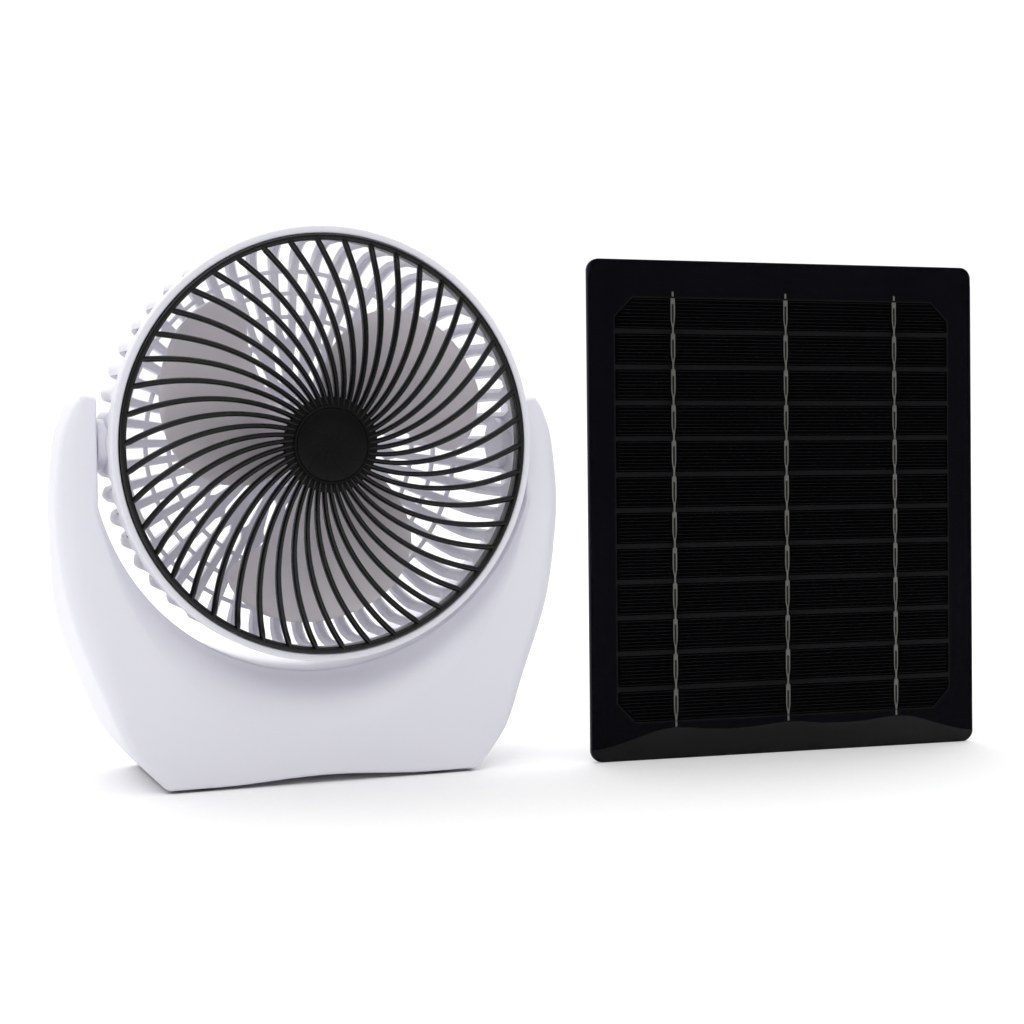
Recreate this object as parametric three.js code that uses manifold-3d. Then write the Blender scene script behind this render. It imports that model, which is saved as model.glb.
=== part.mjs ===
// A small rechargeable table fan with its solar charging panel, as a kit of separate pieces.
// Units are millimetres, +Z is up, -Y is the front, and the kit stands on z = 0.
import * as THREE from "three";
import { mergeVertices } from "three/addons/utils/BufferGeometryUtils.js";
import Module from "manifold-3d";

const wasm = await Module();
wasm.setup();

// Driving dimensions.
const GAP = 0.3; // clearance between pieces that touch in the real object
const FAN_PLACE = [-95.2, -6.8]; // where the fan's pivot stands in plan
const PIVOT_HEIGHT = 133.5;
const PANEL_PLACE = [203.0, -30.5]; // middle of the panel's lower edge, from the fan's pivot
const PANEL_YAW = THREE.MathUtils.degToRad(-5);
const PANEL_LEAN = THREE.MathUtils.degToRad(2);

const HEAD_RADIUS = 84.6; // white rim of the fan head
const GRILLE_RADIUS = 81.4; // black grille inside that rim
const GRILLE_FACE = -26; // front of the grille's ring
const SPOKES = 46;
const HOUSING_RADIUS = 84.2; // wall of the head behind the rim
const VENTS = 52;
const BLADES = 3;
const BLADE_TIP = 71.5;

const YOKE_RADIUS = 90.5; // the round cut that the head tilts in
const ARM_INNER = 87.5; // half the distance between the arms at the pivot
const YOKE_FRONT = -20; // front of the base at the floor
const YOKE_LEAN = Math.tan(THREE.MathUtils.degToRad(3.2));
const FOOT_REAR = 50; // back of the base at the floor
const ARM_REAR = 16;
const WALL = 2.4;
const EDGE_HEIGHT = 1.2; // the shells' lower edge above the floor
const PARTING = 0; // plane between the front and the rear shell, through the pivot

const PANEL_WIDTH = 180;
const PANEL_HEIGHT = 210;
const PANEL_CORNER = 5;
const BOARD_THICK = 1.6;
const CELL_THICK = 0.3;
const RIBBON_THICK = 0.3;
const FILM_THICK = 0.5;
const FILM_GAP = 0.1; // between the layers of the laminate
const STRIPS = 12;
const STRIP_PITCH = 15;
const STRIP_HEIGHT = 13;
const CELL_WIDTH = 156;
const RIBBON_PITCH = 52;
const RIBBON_WIDTH = 2;

const PIN_RADIUS = 3;
const BUSH_RADIUS = 5;
const SHAFT_RADIUS = 1.5;
const MOTOR_RADIUS = 16;
const BATTERY_RADIUS = 9.1;
const BATTERY_LENGTH = 65;

// Materials.
const material = (color, roughness, metalness = 0) =>
  new THREE.MeshStandardMaterial({ color, roughness, metalness });
const whiteShell = material(0xe4e3ea, 0.4);
const blackPlastic = material(0x101012, 0.35);
const milkyPlastic = material(0xb4b0b4, 0.35);
const blackBoard = material(0x0c0c12, 0.2);
const cellBlack = material(0x050507, 0.3);
const tinnedCopper = material(0xb0b0aa, 0.35, 1);
const steel = material(0x9a9da2, 0.3, 1);
const brass = material(0xb08d4a, 0.35, 1);
const rubber = material(0x2b2b2d, 0.85);
const nylon = material(0xd9d6cc, 0.5);
const ferrite = material(0x3a3a3d, 0.7);
const greenBoard = material(0x1f5a36, 0.5);
const cellWrap = material(0x2f6fb0, 0.4);
const clearLens = material(0xd8ecd8, 0.15);
const clearFilm = material(0x0b0b0e, 0.1);
const greyButton = material(0xbfc0c6, 0.45);

// Solids: closed geometry becomes a manifold to be joined or cut, and geometry again at the end.
function solid(geometry) {
  const plain = geometry.index ? geometry.toNonIndexed() : geometry.clone();
  plain.deleteAttribute("normal");
  plain.deleteAttribute("uv");
  const merged = mergeVertices(plain, 1e-3);
  const vertProperties = merged.attributes.position.array;
  const triVerts = new Uint32Array(merged.index.array);
  return new wasm.Manifold(new wasm.Mesh({ numProp: 3, vertProperties, triVerts }));
}

function geometryOf(manifold) {
  const mesh = manifold.getMesh();
  const geometry = new THREE.BufferGeometry();
  geometry.setAttribute("position", new THREE.BufferAttribute(mesh.vertProperties.slice(), 3));
  geometry.setIndex(new THREE.BufferAttribute(mesh.triVerts.slice(), 1));
  geometry.computeVertexNormals();
  return geometry;
}

const asSolid = (shape) => (shape.isBufferGeometry ? solid(shape) : shape);
const join = (...shapes) => shapes.map(asSolid).reduce((whole, shape) => whole.add(shape));
const cut = (whole, ...tools) =>
  tools.map(asSolid).reduce((left, tool) => left.subtract(tool), asSolid(whole));
const overlap = (a, b) => asSolid(a).intersect(asSolid(b));

// Primitive shapes, placed by their limits.
function block([x0, x1], [y0, y1], [z0, z1]) {
  const geometry = new THREE.BoxGeometry(x1 - x0, y1 - y0, z1 - z0);
  return geometry.translate((x0 + x1) / 2, (y0 + y1) / 2, (z0 + z1) / 2);
}

function rodY(radius, [y0, y1], x = 0, z = 0, sides = 16) {
  const geometry = new THREE.CylinderGeometry(radius, radius, y1 - y0, sides);
  return geometry.translate(x, (y0 + y1) / 2, z);
}

function rodX(radius, [x0, x1], y = 0, z = 0, sides = 16) {
  const geometry = new THREE.CylinderGeometry(radius, radius, x1 - x0, sides);
  geometry.rotateY(Math.PI / sides).rotateZ(Math.PI / 2);
  return geometry.translate((x0 + x1) / 2, y, z);
}

function rodZ(radius, [z0, z1], x = 0, y = 0, sides = 16) {
  const geometry = new THREE.CylinderGeometry(radius, radius, z1 - z0, sides);
  return geometry.rotateX(Math.PI / 2).translate(x, y, (z0 + z1) / 2);
}

// A ring or a disc turned about the Y axis, from its (radius, y) outline in any order of turn.
function turned(outline, segments) {
  const loop = outline.map(([r, y]) => new THREE.Vector2(r, y));
  if (THREE.ShapeUtils.area(loop) < 0) loop.reverse();
  loop.push(loop[0].clone());
  return new THREE.LatheGeometry(loop, segments);
}

// A flat shape drawn in x and z, with its thickness along Y.
function slab(shape, [y0, y1], curveSegments = 6) {
  const options = { depth: y1 - y0, bevelEnabled: false, curveSegments };
  return new THREE.ExtrudeGeometry(shape, options).rotateX(Math.PI / 2).translate(0, y1, 0);
}

function roundedRectangle(width, height, radius, x0 = -width / 2, z0 = 0) {
  const shape = new THREE.Shape();
  const [x1, z1] = [x0 + width, z0 + height];
  shape.moveTo(x0 + radius, z0);
  shape.absarc(x1 - radius, z0 + radius, radius, -Math.PI / 2, 0);
  shape.absarc(x1 - radius, z1 - radius, radius, 0, Math.PI / 2);
  shape.absarc(x0 + radius, z1 - radius, radius, Math.PI / 2, Math.PI);
  shape.absarc(x0 + radius, z0 + radius, radius, Math.PI, 1.5 * Math.PI);
  return shape;
}

// A closed skin over matching closed loops of points, with both end loops capped.
function loft(loops) {
  const count = loops[0].length;
  const points = loops.flat();
  const index = [];
  for (let s = 0; s + 1 < loops.length; s++) {
    for (let i = 0; i < count; i++) {
      const a = s * count + i;
      const b = s * count + ((i + 1) % count);
      index.push(a, b, b + count, a, b + count, a + count);
    }
  }
  const last = (loops.length - 1) * count;
  const cap = (start, flip) => {
    const middle = points.length;
    const centre = new THREE.Vector3();
    for (let i = 0; i < count; i++) centre.addScaledVector(points[start + i], 1 / count);
    points.push(centre);
    for (let i = 0; i < count; i++) {
      const pair = [start + i, start + ((i + 1) % count)];
      if (flip) pair.reverse();
      index.push(middle, pair[0], pair[1]);
    }
  };
  cap(0, true);
  cap(last, false);
  const geometry = new THREE.BufferGeometry().setFromPoints(points);
  geometry.setIndex(index);
  return geometry;
}

const smooth = (value, low, high) => THREE.MathUtils.smoothstep(value, low, high);
const mix = THREE.MathUtils.lerp;

function piece(parent, name, shape, look, place = [0, 0, 0]) {
  const mesh = new THREE.Mesh(shape.isBufferGeometry ? shape : geometryOf(shape), look);
  mesh.name = name;
  mesh.position.set(...place);
  parent.add(mesh);
  return mesh;
}

// The yoke-shaped base. Its sections are taken on rays from the pivot, and each runs from the
// round cut out to the outline; the outline goes along the floor and up both arms.
const SIDE_OUTLINE = [
  [63.5, EDGE_HEIGHT],
  [77, 17],
  [86, 37],
  [98, 70],
  [103, 105],
  [101, 133],
  [97, 146],
  [93.6, 151.4],
].map(([x, z]) => new THREE.Vector2(x, z));
const ARCH_HALF_WIDTH = 45;
const ARCH_RISE = 1.8;
const DISH_REACH = 23.5; // how far the dished zone reaches out from the cut at the bottom
const DISH_DEPTH = 12;
const DISH_SPREAD = 1.08; // how fast the dish fades towards the arms
const DISH_MIDDLE = 0.42; // depth half way down the dish, as a share of its full depth
const TIP_ROUND = 3.5;
const TIP_LIFT = 0.6; // how high the rounded arm tip stands, as a share of its rounding
const SIDE_ROUND = 8;
const FLOOR_ROUND = 1.5;
const REAR_ROUND = 6;
const FLOOR_HALF = 62.6; // where the lower edge ends and the side outline starts
const ROUND_SHARE = 0.42; // most of a section's width that one rounding may take
const FIRST_CHAMFER = 0.3; // where a two-step rounding has its middle point

const yokeFront = (z) => YOKE_FRONT + z * YOKE_LEAN;
const yokeRear = (z) => mix(FOOT_REAR, ARM_REAR, smooth(z, 44, 104));

function dishShare(angle) {
  const turn = Math.min(Math.abs(angle) * DISH_SPREAD, Math.PI / 2);
  return Math.cos(turn) ** 2;
}

function outlineStations(inset) {
  const floorSteps = 4;
  const sideSteps = 10;
  const stations = [];
  for (let i = 0; i < floorSteps; i++) {
    const x = ((FLOOR_HALF - inset) * i) / (floorSteps - 1);
    const arch = x < ARCH_HALF_WIDTH ? Math.cos((Math.PI * x) / (2 * ARCH_HALF_WIDTH)) ** 2 : 0;
    const z = inset > 0 ? -EDGE_HEIGHT : EDGE_HEIGHT + ARCH_RISE * arch;
    stations.push({ x, z, round: FLOOR_ROUND, tip: 0 });
  }
  const side = new THREE.SplineCurve(SIDE_OUTLINE);
  for (let i = 1; i <= sideSteps; i++) {
    const point = side.getPoint(i / sideSteps);
    const round = mix(FLOOR_ROUND, SIDE_ROUND, smooth(i / sideSteps, 0, 0.35));
    stations.push({ x: point.x, z: point.y, round, tip: 0 });
  }
  const end = stations.at(-1);
  const tips = [0.5, 1].map((tip) => {
    const lift = TIP_ROUND * Math.sin((tip * Math.PI) / 2) * TIP_LIFT;
    return { ...end, x: end.x - lift / 10, z: end.z + lift - inset * tip, tip };
  });
  return [...stations, ...tips];
}

function yokeSection({ x, z, round, tip }, inset, side) {
  const reach = Math.hypot(x, PIVOT_HEIGHT - z);
  const angle = Math.atan2(x, PIVOT_HEIGHT - z);
  const onFloor = z < EDGE_HEIGHT + ARCH_RISE + 0.1 && inset > 0;
  const tipInset = TIP_ROUND * (1 - Math.cos((tip * Math.PI) / 2));
  const outer = reach - (onFloor ? 0 : inset) - tipInset;
  const inner = Math.min(YOKE_RADIUS, ARM_INNER / Math.sin(angle)) + inset + tipInset * 0.2;
  const width = outer - inner;
  const share = dishShare(angle);
  const soft = Math.min(round, width * ROUND_SHARE);
  const lip = Math.min(1, width * 0.12);
  const crease = Math.min(inner + Math.max(2 * lip, DISH_REACH * share), outer - soft - lip);
  const at = (r, front, depth) => {
    const px = r * Math.sin(angle);
    const pz = PIVOT_HEIGHT - r * Math.cos(angle);
    const y = front ? yokeFront(pz) + inset + tipInset + depth : yokeRear(pz) - inset - tipInset - depth;
    return new THREE.Vector3(side * px, y, pz);
  };
  const dish = DISH_DEPTH * share;
  const rear = Math.min(REAR_ROUND, width * ROUND_SHARE);
  return [
    at(crease, true, 0),
    at(outer - soft, true, 0),
    at(outer - soft * FIRST_CHAMFER, true, soft * FIRST_CHAMFER),
    at(outer, true, soft),
    at(outer, false, rear),
    at(outer - rear * FIRST_CHAMFER, false, rear * FIRST_CHAMFER),
    at(outer - rear, false, 0),
    at(inner + 2 * lip, false, 0),
    at(inner, false, 2 * lip),
    at(inner, true, dish + lip),
    at(inner + lip, true, dish),
    at((inner + lip + crease) / 2, true, dish * DISH_MIDDLE),
  ];
}

function yokeSolid(inset) {
  const half = outlineStations(inset);
  const right = half.map((station) => yokeSection(station, inset, 1));
  const left = half.slice(1).map((station) => yokeSection(station, inset, -1));
  return loft([...left.reverse(), ...right]);
}

// A pan-head screw along Y: its shaft, then its head's radius, both with their limits in y.
function screwY(shaft, [y0, y1], head, [y2, y3]) {
  return join(rodY(shaft, [y0, y1], 0, 0, 8), rodY(head, [y2, y3], 0, 0, 10));
}

const SHELL_SCREWS = [
  [-46, 12],
  [46, 12],
  [-94.8, 100],
  [94.8, 100],
];
const SCREW_SHAFT = 1.3;
const SCREW_HEAD = 2.6;
const POST_RADIUS = 3.6;
const BUTTON_PLACE = [-22, 20];
const BUTTON_RADIUS = 5;
const LENS_PLACE = [0, 20];
const LENS_RADIUS = 1.6;
const JACK_PLACE = [22, 18];
const JACK_HOLE = 3.4;

const screwDepth = (z) => yokeRear(z) - 3; // the level that each shell screw's head sits on

function baseShells(group) {
  const far = 200;
  const frontHalf = block([-far, far], [-far, PARTING - GAP / 2], [-far, far]);
  const rearHalf = block([-far, far], [PARTING + GAP / 2, far], [-far, far]);
  const bushHoles = [-1, 1].map((s) =>
    rodX(BUSH_RADIUS + GAP, s < 0 ? [-ARM_INNER - 5, -80] : [80, ARM_INNER + 5], 0, PIVOT_HEIGHT, 16),
  );
  const hollow = cut(yokeSolid(0), yokeSolid(WALL), ...bushHoles);
  const posts = SHELL_SCREWS.map(([x, z]) =>
    rodY(POST_RADIUS, [yokeFront(z) + WALL / 2, PARTING - GAP / 2], x, z, 10),
  );
  const pilots = SHELL_SCREWS.map(([x, z]) => rodY(SCREW_SHAFT + GAP, [-11, 1], x, z, 10));
  const front = cut(join(overlap(hollow, frontHalf), ...posts), ...pilots);
  piece(group, "base_front_shell", front, whiteShell);

  const sleeves = SHELL_SCREWS.map(([x, z]) =>
    rodY(POST_RADIUS, [PARTING + GAP / 2, yokeRear(z) - WALL / 2], x, z, 10),
  );
  const clearances = SHELL_SCREWS.flatMap(([x, z]) => [
    rodY(SCREW_SHAFT + GAP, [-1, far], x, z, 10),
    rodY(SCREW_HEAD + GAP, [screwDepth(z), far], x, z, 10),
  ]);
  const ports = [
    rodY(BUTTON_RADIUS + GAP, [30, far], ...BUTTON_PLACE, 20),
    rodY(LENS_RADIUS + GAP, [30, far], ...LENS_PLACE, 12),
    rodY(JACK_HOLE, [30, far], ...JACK_PLACE, 16),
  ];
  const rear = cut(join(overlap(hollow, rearHalf), ...sleeves), ...clearances, ...ports);
  piece(group, "base_rear_shell", rear, whiteShell);

  SHELL_SCREWS.forEach(([x, z], i) => {
    const seat = screwDepth(z);
    const screw = screwY(SCREW_SHAFT, [-10, seat + 0.5], SCREW_HEAD, [seat + GAP, seat + GAP + 1.8]);
    piece(group, "base_screw_" + (i + 1), screw, steel, [x, 0, z]);
  });
}

const PLATE_BOTTOM = 3.4;
const PLATE_TOP = 5.4;
const PLATE_HALF = 60;
const PLATE_MARGIN = 1; // between the plate and the shells' walls
const FOOT_RADIUS = 6.6;
const FEET = [
  ["foot_front_left", -48, -9],
  ["foot_front_right", 48, -9],
  ["foot_rear_left", -48, 38],
  ["foot_rear_right", 48, 38],
];

function baseFloor(group) {
  const depth = FOOT_REAR - YOKE_FRONT - 2 * (WALL + PLATE_MARGIN);
  const outline = roundedRectangle(2 * PLATE_HALF, depth, 4);
  const options = { depth: PLATE_TOP - PLATE_BOTTOM, bevelEnabled: false, curveSegments: 3 };
  const sheet = new THREE.ExtrudeGeometry(outline, options);
  sheet.translate(0, YOKE_FRONT + WALL + PLATE_MARGIN + GAP, PLATE_BOTTOM);
  piece(group, "base_bottom_plate", sheet, whiteShell);
  FEET.forEach(([name, x, y]) => {
    piece(group, name, rodZ(FOOT_RADIUS, [0, PLATE_BOTTOM - GAP]), rubber, [x, y, 0]);
  });
}

// What the base holds: the battery in its cradle, the board with its switch and socket, and the
// button and the lens that reach through the rear shell.
const BATTERY_PLACE = [20, 16.5]; // y and z of its axis
const CRADLE_HALF = 11;
const CRADLE_TOP = 15;
const CIRCUIT_HALF = 34;
const CIRCUIT_HEIGHTS = [7, 32];
const CIRCUIT_FRONT = 41;
const CIRCUIT_BACK = CIRCUIT_FRONT + BOARD_THICK + GAP;
const INSIDE_REAR = FOOT_REAR - WALL;
const SWITCH_HALF = 3;
const BUTTON_PROUD = 1.8;
const BUTTON_TRAVEL = 1.2;

function battery(group) {
  const [y, z] = BATTERY_PLACE;
  const half = BATTERY_LENGTH / 2;
  const nub = rodX(2.8, [half - 1, half + 1.2], 0, 0, 12);
  piece(group, "battery_cell", join(rodX(BATTERY_RADIUS, [-half, half]), nub), cellWrap, [0, y, z]);
  const tray = block([-half - 3, half + 4], [y - CRADLE_HALF, y + CRADLE_HALF], [PLATE_TOP + GAP, CRADLE_TOP]);
  const bed = rodX(BATTERY_RADIUS + GAP, [-half - GAP, half + 1.5], y, z, 24);
  piece(group, "battery_cradle", cut(tray, bed), nylon);
}

function chargeCircuit(group) {
  const depths = [CIRCUIT_FRONT, CIRCUIT_FRONT + BOARD_THICK];
  const board = block([-CIRCUIT_HALF, CIRCUIT_HALF], depths, CIRCUIT_HEIGHTS);
  piece(group, "charge_board", board, greenBoard);
  const [buttonX, buttonZ] = BUTTON_PLACE;
  const [jackX, jackZ] = JACK_PLACE;
  const [lensX, lensZ] = LENS_PLACE;
  const across = [-SWITCH_HALF, SWITCH_HALF];
  const housing = block(across, [CIRCUIT_BACK, CIRCUIT_BACK + 1.6], across);
  piece(group, "button_switch", housing, ferrite, [buttonX, 0, buttonZ]);
  const barrel = block([-4.6, 4.6], [CIRCUIT_BACK, INSIDE_REAR - GAP], [-4.6, 4.6]);
  const collar = rodY(JACK_HOLE - GAP, [INSIDE_REAR - 2, FOOT_REAR - 0.4]);
  const mouth = block([-2.2, 2.2], [CIRCUIT_BACK + 1, FOOT_REAR + 1], [-1.2, 1.2]);
  piece(group, "charge_socket", cut(join(barrel, collar), mouth), ferrite, [jackX, 0, jackZ]);
  const lens = join(
    rodY(LENS_RADIUS, [INSIDE_REAR - 2, FOOT_REAR + GAP], 0, 0, 12),
    rodY(LENS_RADIUS + 0.9, [CIRCUIT_BACK, INSIDE_REAR - GAP], 0, 0, 12),
  );
  piece(group, "indicator_lens", lens, clearLens, [lensX, 0, lensZ]);
  const flangeFront = CIRCUIT_BACK + 1.6 + GAP + BUTTON_TRAVEL - 0.1;
  const cap = join(
    rodY(BUTTON_RADIUS, [INSIDE_REAR - 1, FOOT_REAR + BUTTON_PROUD]),
    rodY(BUTTON_RADIUS + 1.2, [flangeFront, INSIDE_REAR - GAP]),
  );
  piece(group, "speed_button", cap, greyButton, [buttonX, 0, buttonZ]);
}

// The pivots: a nylon bush in each arm carries the pin that stands out of the head.
const BOSS_RADIUS = 10;
const BOSS_ROOT = 78; // the bosses pass through the housing's wall
const BOSS_FACE = ARM_INNER - 0.6;
const WASHER_SEAT = BOSS_FACE - 1.2;
const WASHER_RADIUS = 7.8;
const BUSH_LENGTH = 6.5;
const FAR = 99; // past every face of the head

function pivotBushes(group) {
  [["left", -1], ["right", 1]].forEach(([side, s]) => {
    const sleeve = rodX(BUSH_RADIUS, [ARM_INNER + 0.1, ARM_INNER + BUSH_LENGTH]);
    const bush = cut(sleeve, rodX(PIN_RADIUS + GAP, [ARM_INNER - 1, FAR]));
    const mesh = piece(group, "pivot_bush_" + side, bush, nylon, [0, 0, PIVOT_HEIGHT]);
    mesh.rotation.z = s < 0 ? Math.PI : 0;
  });
}

function pivotPins(group) {
  [["left", -1], ["right", 1]].forEach(([side, s]) => {
    const turn = s < 0 ? Math.PI : 0;
    const pin = rodX(PIN_RADIUS, [BOSS_ROOT + 2.5, ARM_INNER + BUSH_LENGTH - 0.5]);
    piece(group, "pivot_pin_" + side, pin, steel).rotation.z = turn;
    const disc = rodX(WASHER_RADIUS, [WASHER_SEAT + 0.1, BOSS_FACE + GAP]);
    const washer = cut(disc, rodX(PIN_RADIUS + GAP, [BOSS_ROOT, FAR]));
    piece(group, "friction_washer_" + side, washer, rubber).rotation.z = turn;
  });
}

// The head's housing: a turned bowl with a stepped rim, vent slots and a cup for the motor.
const RIM_FRONT = -24.5;
const RIM_BACK = -17;
const LEDGE_RADIUS = 79.2; // the ledge that the grille's ring lies on
const VENT_START = -11;
const VENT_INNER = 44;
const CUP_FRONT = 3.6;
const CUP_RADIUS = 18.8;
const HOUSING_BACK = 33;
const SLOT_HALF = [1.2, 2.3]; // a vent slot's half width, at its inner and its outer end
const INNER_VENT = [25, 40];
const INNER_VENT_HALF = 1.3;
const BUSH_HOLE = 5.5; // opening in the cup's floor, for the shaft's bush
const MOTOR_SCREWS = [
  [-9, 0],
  [9, 0],
];

function rearHousing(group) {
  const seat = GRILLE_FACE + 6 + GAP;
  const outline = [
    [HEAD_RADIUS - 1, RIM_FRONT],
    [HEAD_RADIUS, RIM_FRONT + 1],
    [HEAD_RADIUS, RIM_BACK],
    [HOUSING_RADIUS, RIM_BACK + 1],
    [HOUSING_RADIUS, 16],
    [HOUSING_RADIUS - 6, 25],
    [HOUSING_RADIUS - 20, 29],
    [CUP_RADIUS, HOUSING_BACK],
    [MOTOR_RADIUS + 0.5, HOUSING_BACK],
    [MOTOR_RADIUS + 0.5, CUP_FRONT + 2],
    [BUSH_HOLE, CUP_FRONT + 2],
    [BUSH_HOLE, CUP_FRONT],
    [CUP_RADIUS, CUP_FRONT],
    [CUP_RADIUS, HOUSING_BACK - 2.4],
    [HOUSING_RADIUS - 21, 26.8],
    [HOUSING_RADIUS - 7.6, 23.2],
    [HOUSING_RADIUS - 2, 15],
    [HOUSING_RADIUS - 2, seat + 3],
    [LEDGE_RADIUS, seat + 2],
    [LEDGE_RADIUS, seat],
    [GRILLE_RADIUS + GAP, seat],
    [GRILLE_RADIUS + GAP, RIM_FRONT],
  ];
  const bowl = turned(outline, VENTS);
  const slot = new THREE.Shape();
  const slotOuter = HOUSING_RADIUS + 4;
  slot.moveTo(VENT_INNER, -SLOT_HALF[0]).lineTo(slotOuter, -SLOT_HALF[1]);
  slot.lineTo(slotOuter, SLOT_HALF[1]).lineTo(VENT_INNER, SLOT_HALF[0]);
  const ventLength = HOUSING_BACK + 5 - VENT_START;
  const vents = [];
  for (let i = 0; i < VENTS; i++) {
    const angle = ((i + 0.5) * 2 * Math.PI) / VENTS;
    const bossVent = Math.abs(Math.sin(angle)) * HOUSING_RADIUS < BOSS_RADIUS + 3;
    const start = bossVent ? BOSS_RADIUS + 2 : VENT_START;
    const tool = new THREE.ExtrudeGeometry(slot, { depth: ventLength, bevelEnabled: false });
    vents.push(tool.rotateX(Math.PI / 2).translate(0, ventLength + start, 0).rotateY(angle));
  }
  const innerVents = [];
  for (let i = 0; i < VENTS / 2; i++) {
    const angle = ((2 * i + 0.5) * 2 * Math.PI) / VENTS;
    innerVents.push(block(INNER_VENT, [20, 50], [-INNER_VENT_HALF, INNER_VENT_HALF]).rotateY(angle));
  }
  const onBothSides = (radius, [x0, x1]) => [rodX(radius, [x0, x1]), rodX(radius, [-x1, -x0])];
  const bosses = onBothSides(BOSS_RADIUS, [BOSS_ROOT, BOSS_FACE]);
  const sockets = [
    ...onBothSides(PIN_RADIUS + GAP, [BOSS_ROOT + 2, FAR]),
    ...onBothSides(WASHER_RADIUS + GAP, [WASHER_SEAT, FAR]),
  ];
  const motorHoles = MOTOR_SCREWS.map(([x, z]) => rodY(1.4, [0, 9], x, z, 10));
  const vented = cut(bowl, ...vents, ...innerVents);
  piece(group, "rear_housing", cut(join(vented, ...bosses), ...sockets, ...motorHoles), whiteShell);

  const cap = [
    [0, HOUSING_BACK + 5.5],
    [12, HOUSING_BACK + 5],
    [20, HOUSING_BACK + 2.6],
    [22, HOUSING_BACK + GAP],
    [19.5, HOUSING_BACK + GAP],
    [11.5, HOUSING_BACK + 3.2],
    [0, HOUSING_BACK + 3.7],
  ];
  piece(group, "motor_cover", turned(cap, 20), whiteShell);
}

// The black front grille: a hoop, a hub and curved spokes, all slightly domed towards the front.
const RING_INNER = 79;
const HUB_RADIUS = 18.5;
const SPOKE_DEPTH = 3.2;
const HUB_RISE = 2.4;
const FIRST_SPOKE = THREE.MathUtils.degToRad(-0.6);
const CAP_RADIUS = 14.2;
const CAP_SEAT = CAP_RADIUS + 0.4;

const domed = (r) => HUB_RISE * (1 - r / RING_INNER); // how far the grille stands out at a radius

function spokeAngle(r) {
  const inward = RING_INNER - r;
  return THREE.MathUtils.degToRad(-0.4 * inward - 0.0008 * inward ** 2);
}

function spoke(steps) {
  const left = [];
  const right = [];
  const inner = HUB_RADIUS - 3;
  const outer = RING_INNER + 1;
  for (let i = 0; i <= steps; i++) {
    const r = mix(inner, outer, i / steps);
    const angle = spokeAngle(r);
    const ahead = spokeAngle(r + 0.1);
    const middle = new THREE.Vector2(r * Math.cos(angle), r * Math.sin(angle));
    const next = new THREE.Vector2((r + 0.1) * Math.cos(ahead), (r + 0.1) * Math.sin(ahead));
    const along = next.sub(middle).normalize();
    const half = mix(0.95, 1.15, (r - inner) / (outer - inner));
    left.push(new THREE.Vector2(middle.x - along.y * half, middle.y + along.x * half));
    right.push(new THREE.Vector2(middle.x + along.y * half, middle.y - along.x * half));
  }
  const strip = slab(new THREE.Shape([...right, ...left.reverse()]), [0, SPOKE_DEPTH]);
  const position = strip.attributes.position;
  for (let i = 0; i < position.count; i++) {
    const r = Math.hypot(position.getX(i), position.getZ(i));
    position.setY(i, position.getY(i) + GRILLE_FACE + 0.4 - domed(r));
  }
  return strip;
}

function frontGrille(group) {
  const ring = turned(
    [
      [RING_INNER, GRILLE_FACE],
      [GRILLE_RADIUS - 0.8, GRILLE_FACE],
      [GRILLE_RADIUS, GRILLE_FACE + 0.8],
      [GRILLE_RADIUS, GRILLE_FACE + 6],
      [RING_INNER, GRILLE_FACE + 6],
    ],
    SPOKES,
  );
  const face = GRILLE_FACE - HUB_RISE;
  const hub = turned(
    [
      [CAP_SEAT, face],
      [HUB_RADIUS, face],
      [HUB_RADIUS, face + 4],
      [4, face + 4],
      [4, face + 1.8],
      [CAP_SEAT, face + 1.8],
    ],
    SPOKES / 2,
  );
  const first = spoke(5);
  let grille = join(ring, hub);
  for (let i = 0; i < SPOKES; i++) {
    const angle = FIRST_SPOKE + (i * 2 * Math.PI) / SPOKES;
    grille = grille.add(solid(first.clone().rotateY(-angle)));
  }
  piece(group, "front_grille", grille, blackPlastic);

  const cap = join(
    rodY(CAP_RADIUS, [face - 0.2, face + 1.5], 0, 0, SPOKES / 2),
    rodY(3.5, [face + 1, face + 4]),
  );
  piece(group, "grille_hub_cap", cap, blackPlastic);
}

// The motor, held in the housing's cup.
const CAN_FRONT = CUP_FRONT + 2 + GAP;
const CAN_BACK = 28;
const MAGNET_RADII = [12.4, 14.7];

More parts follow.
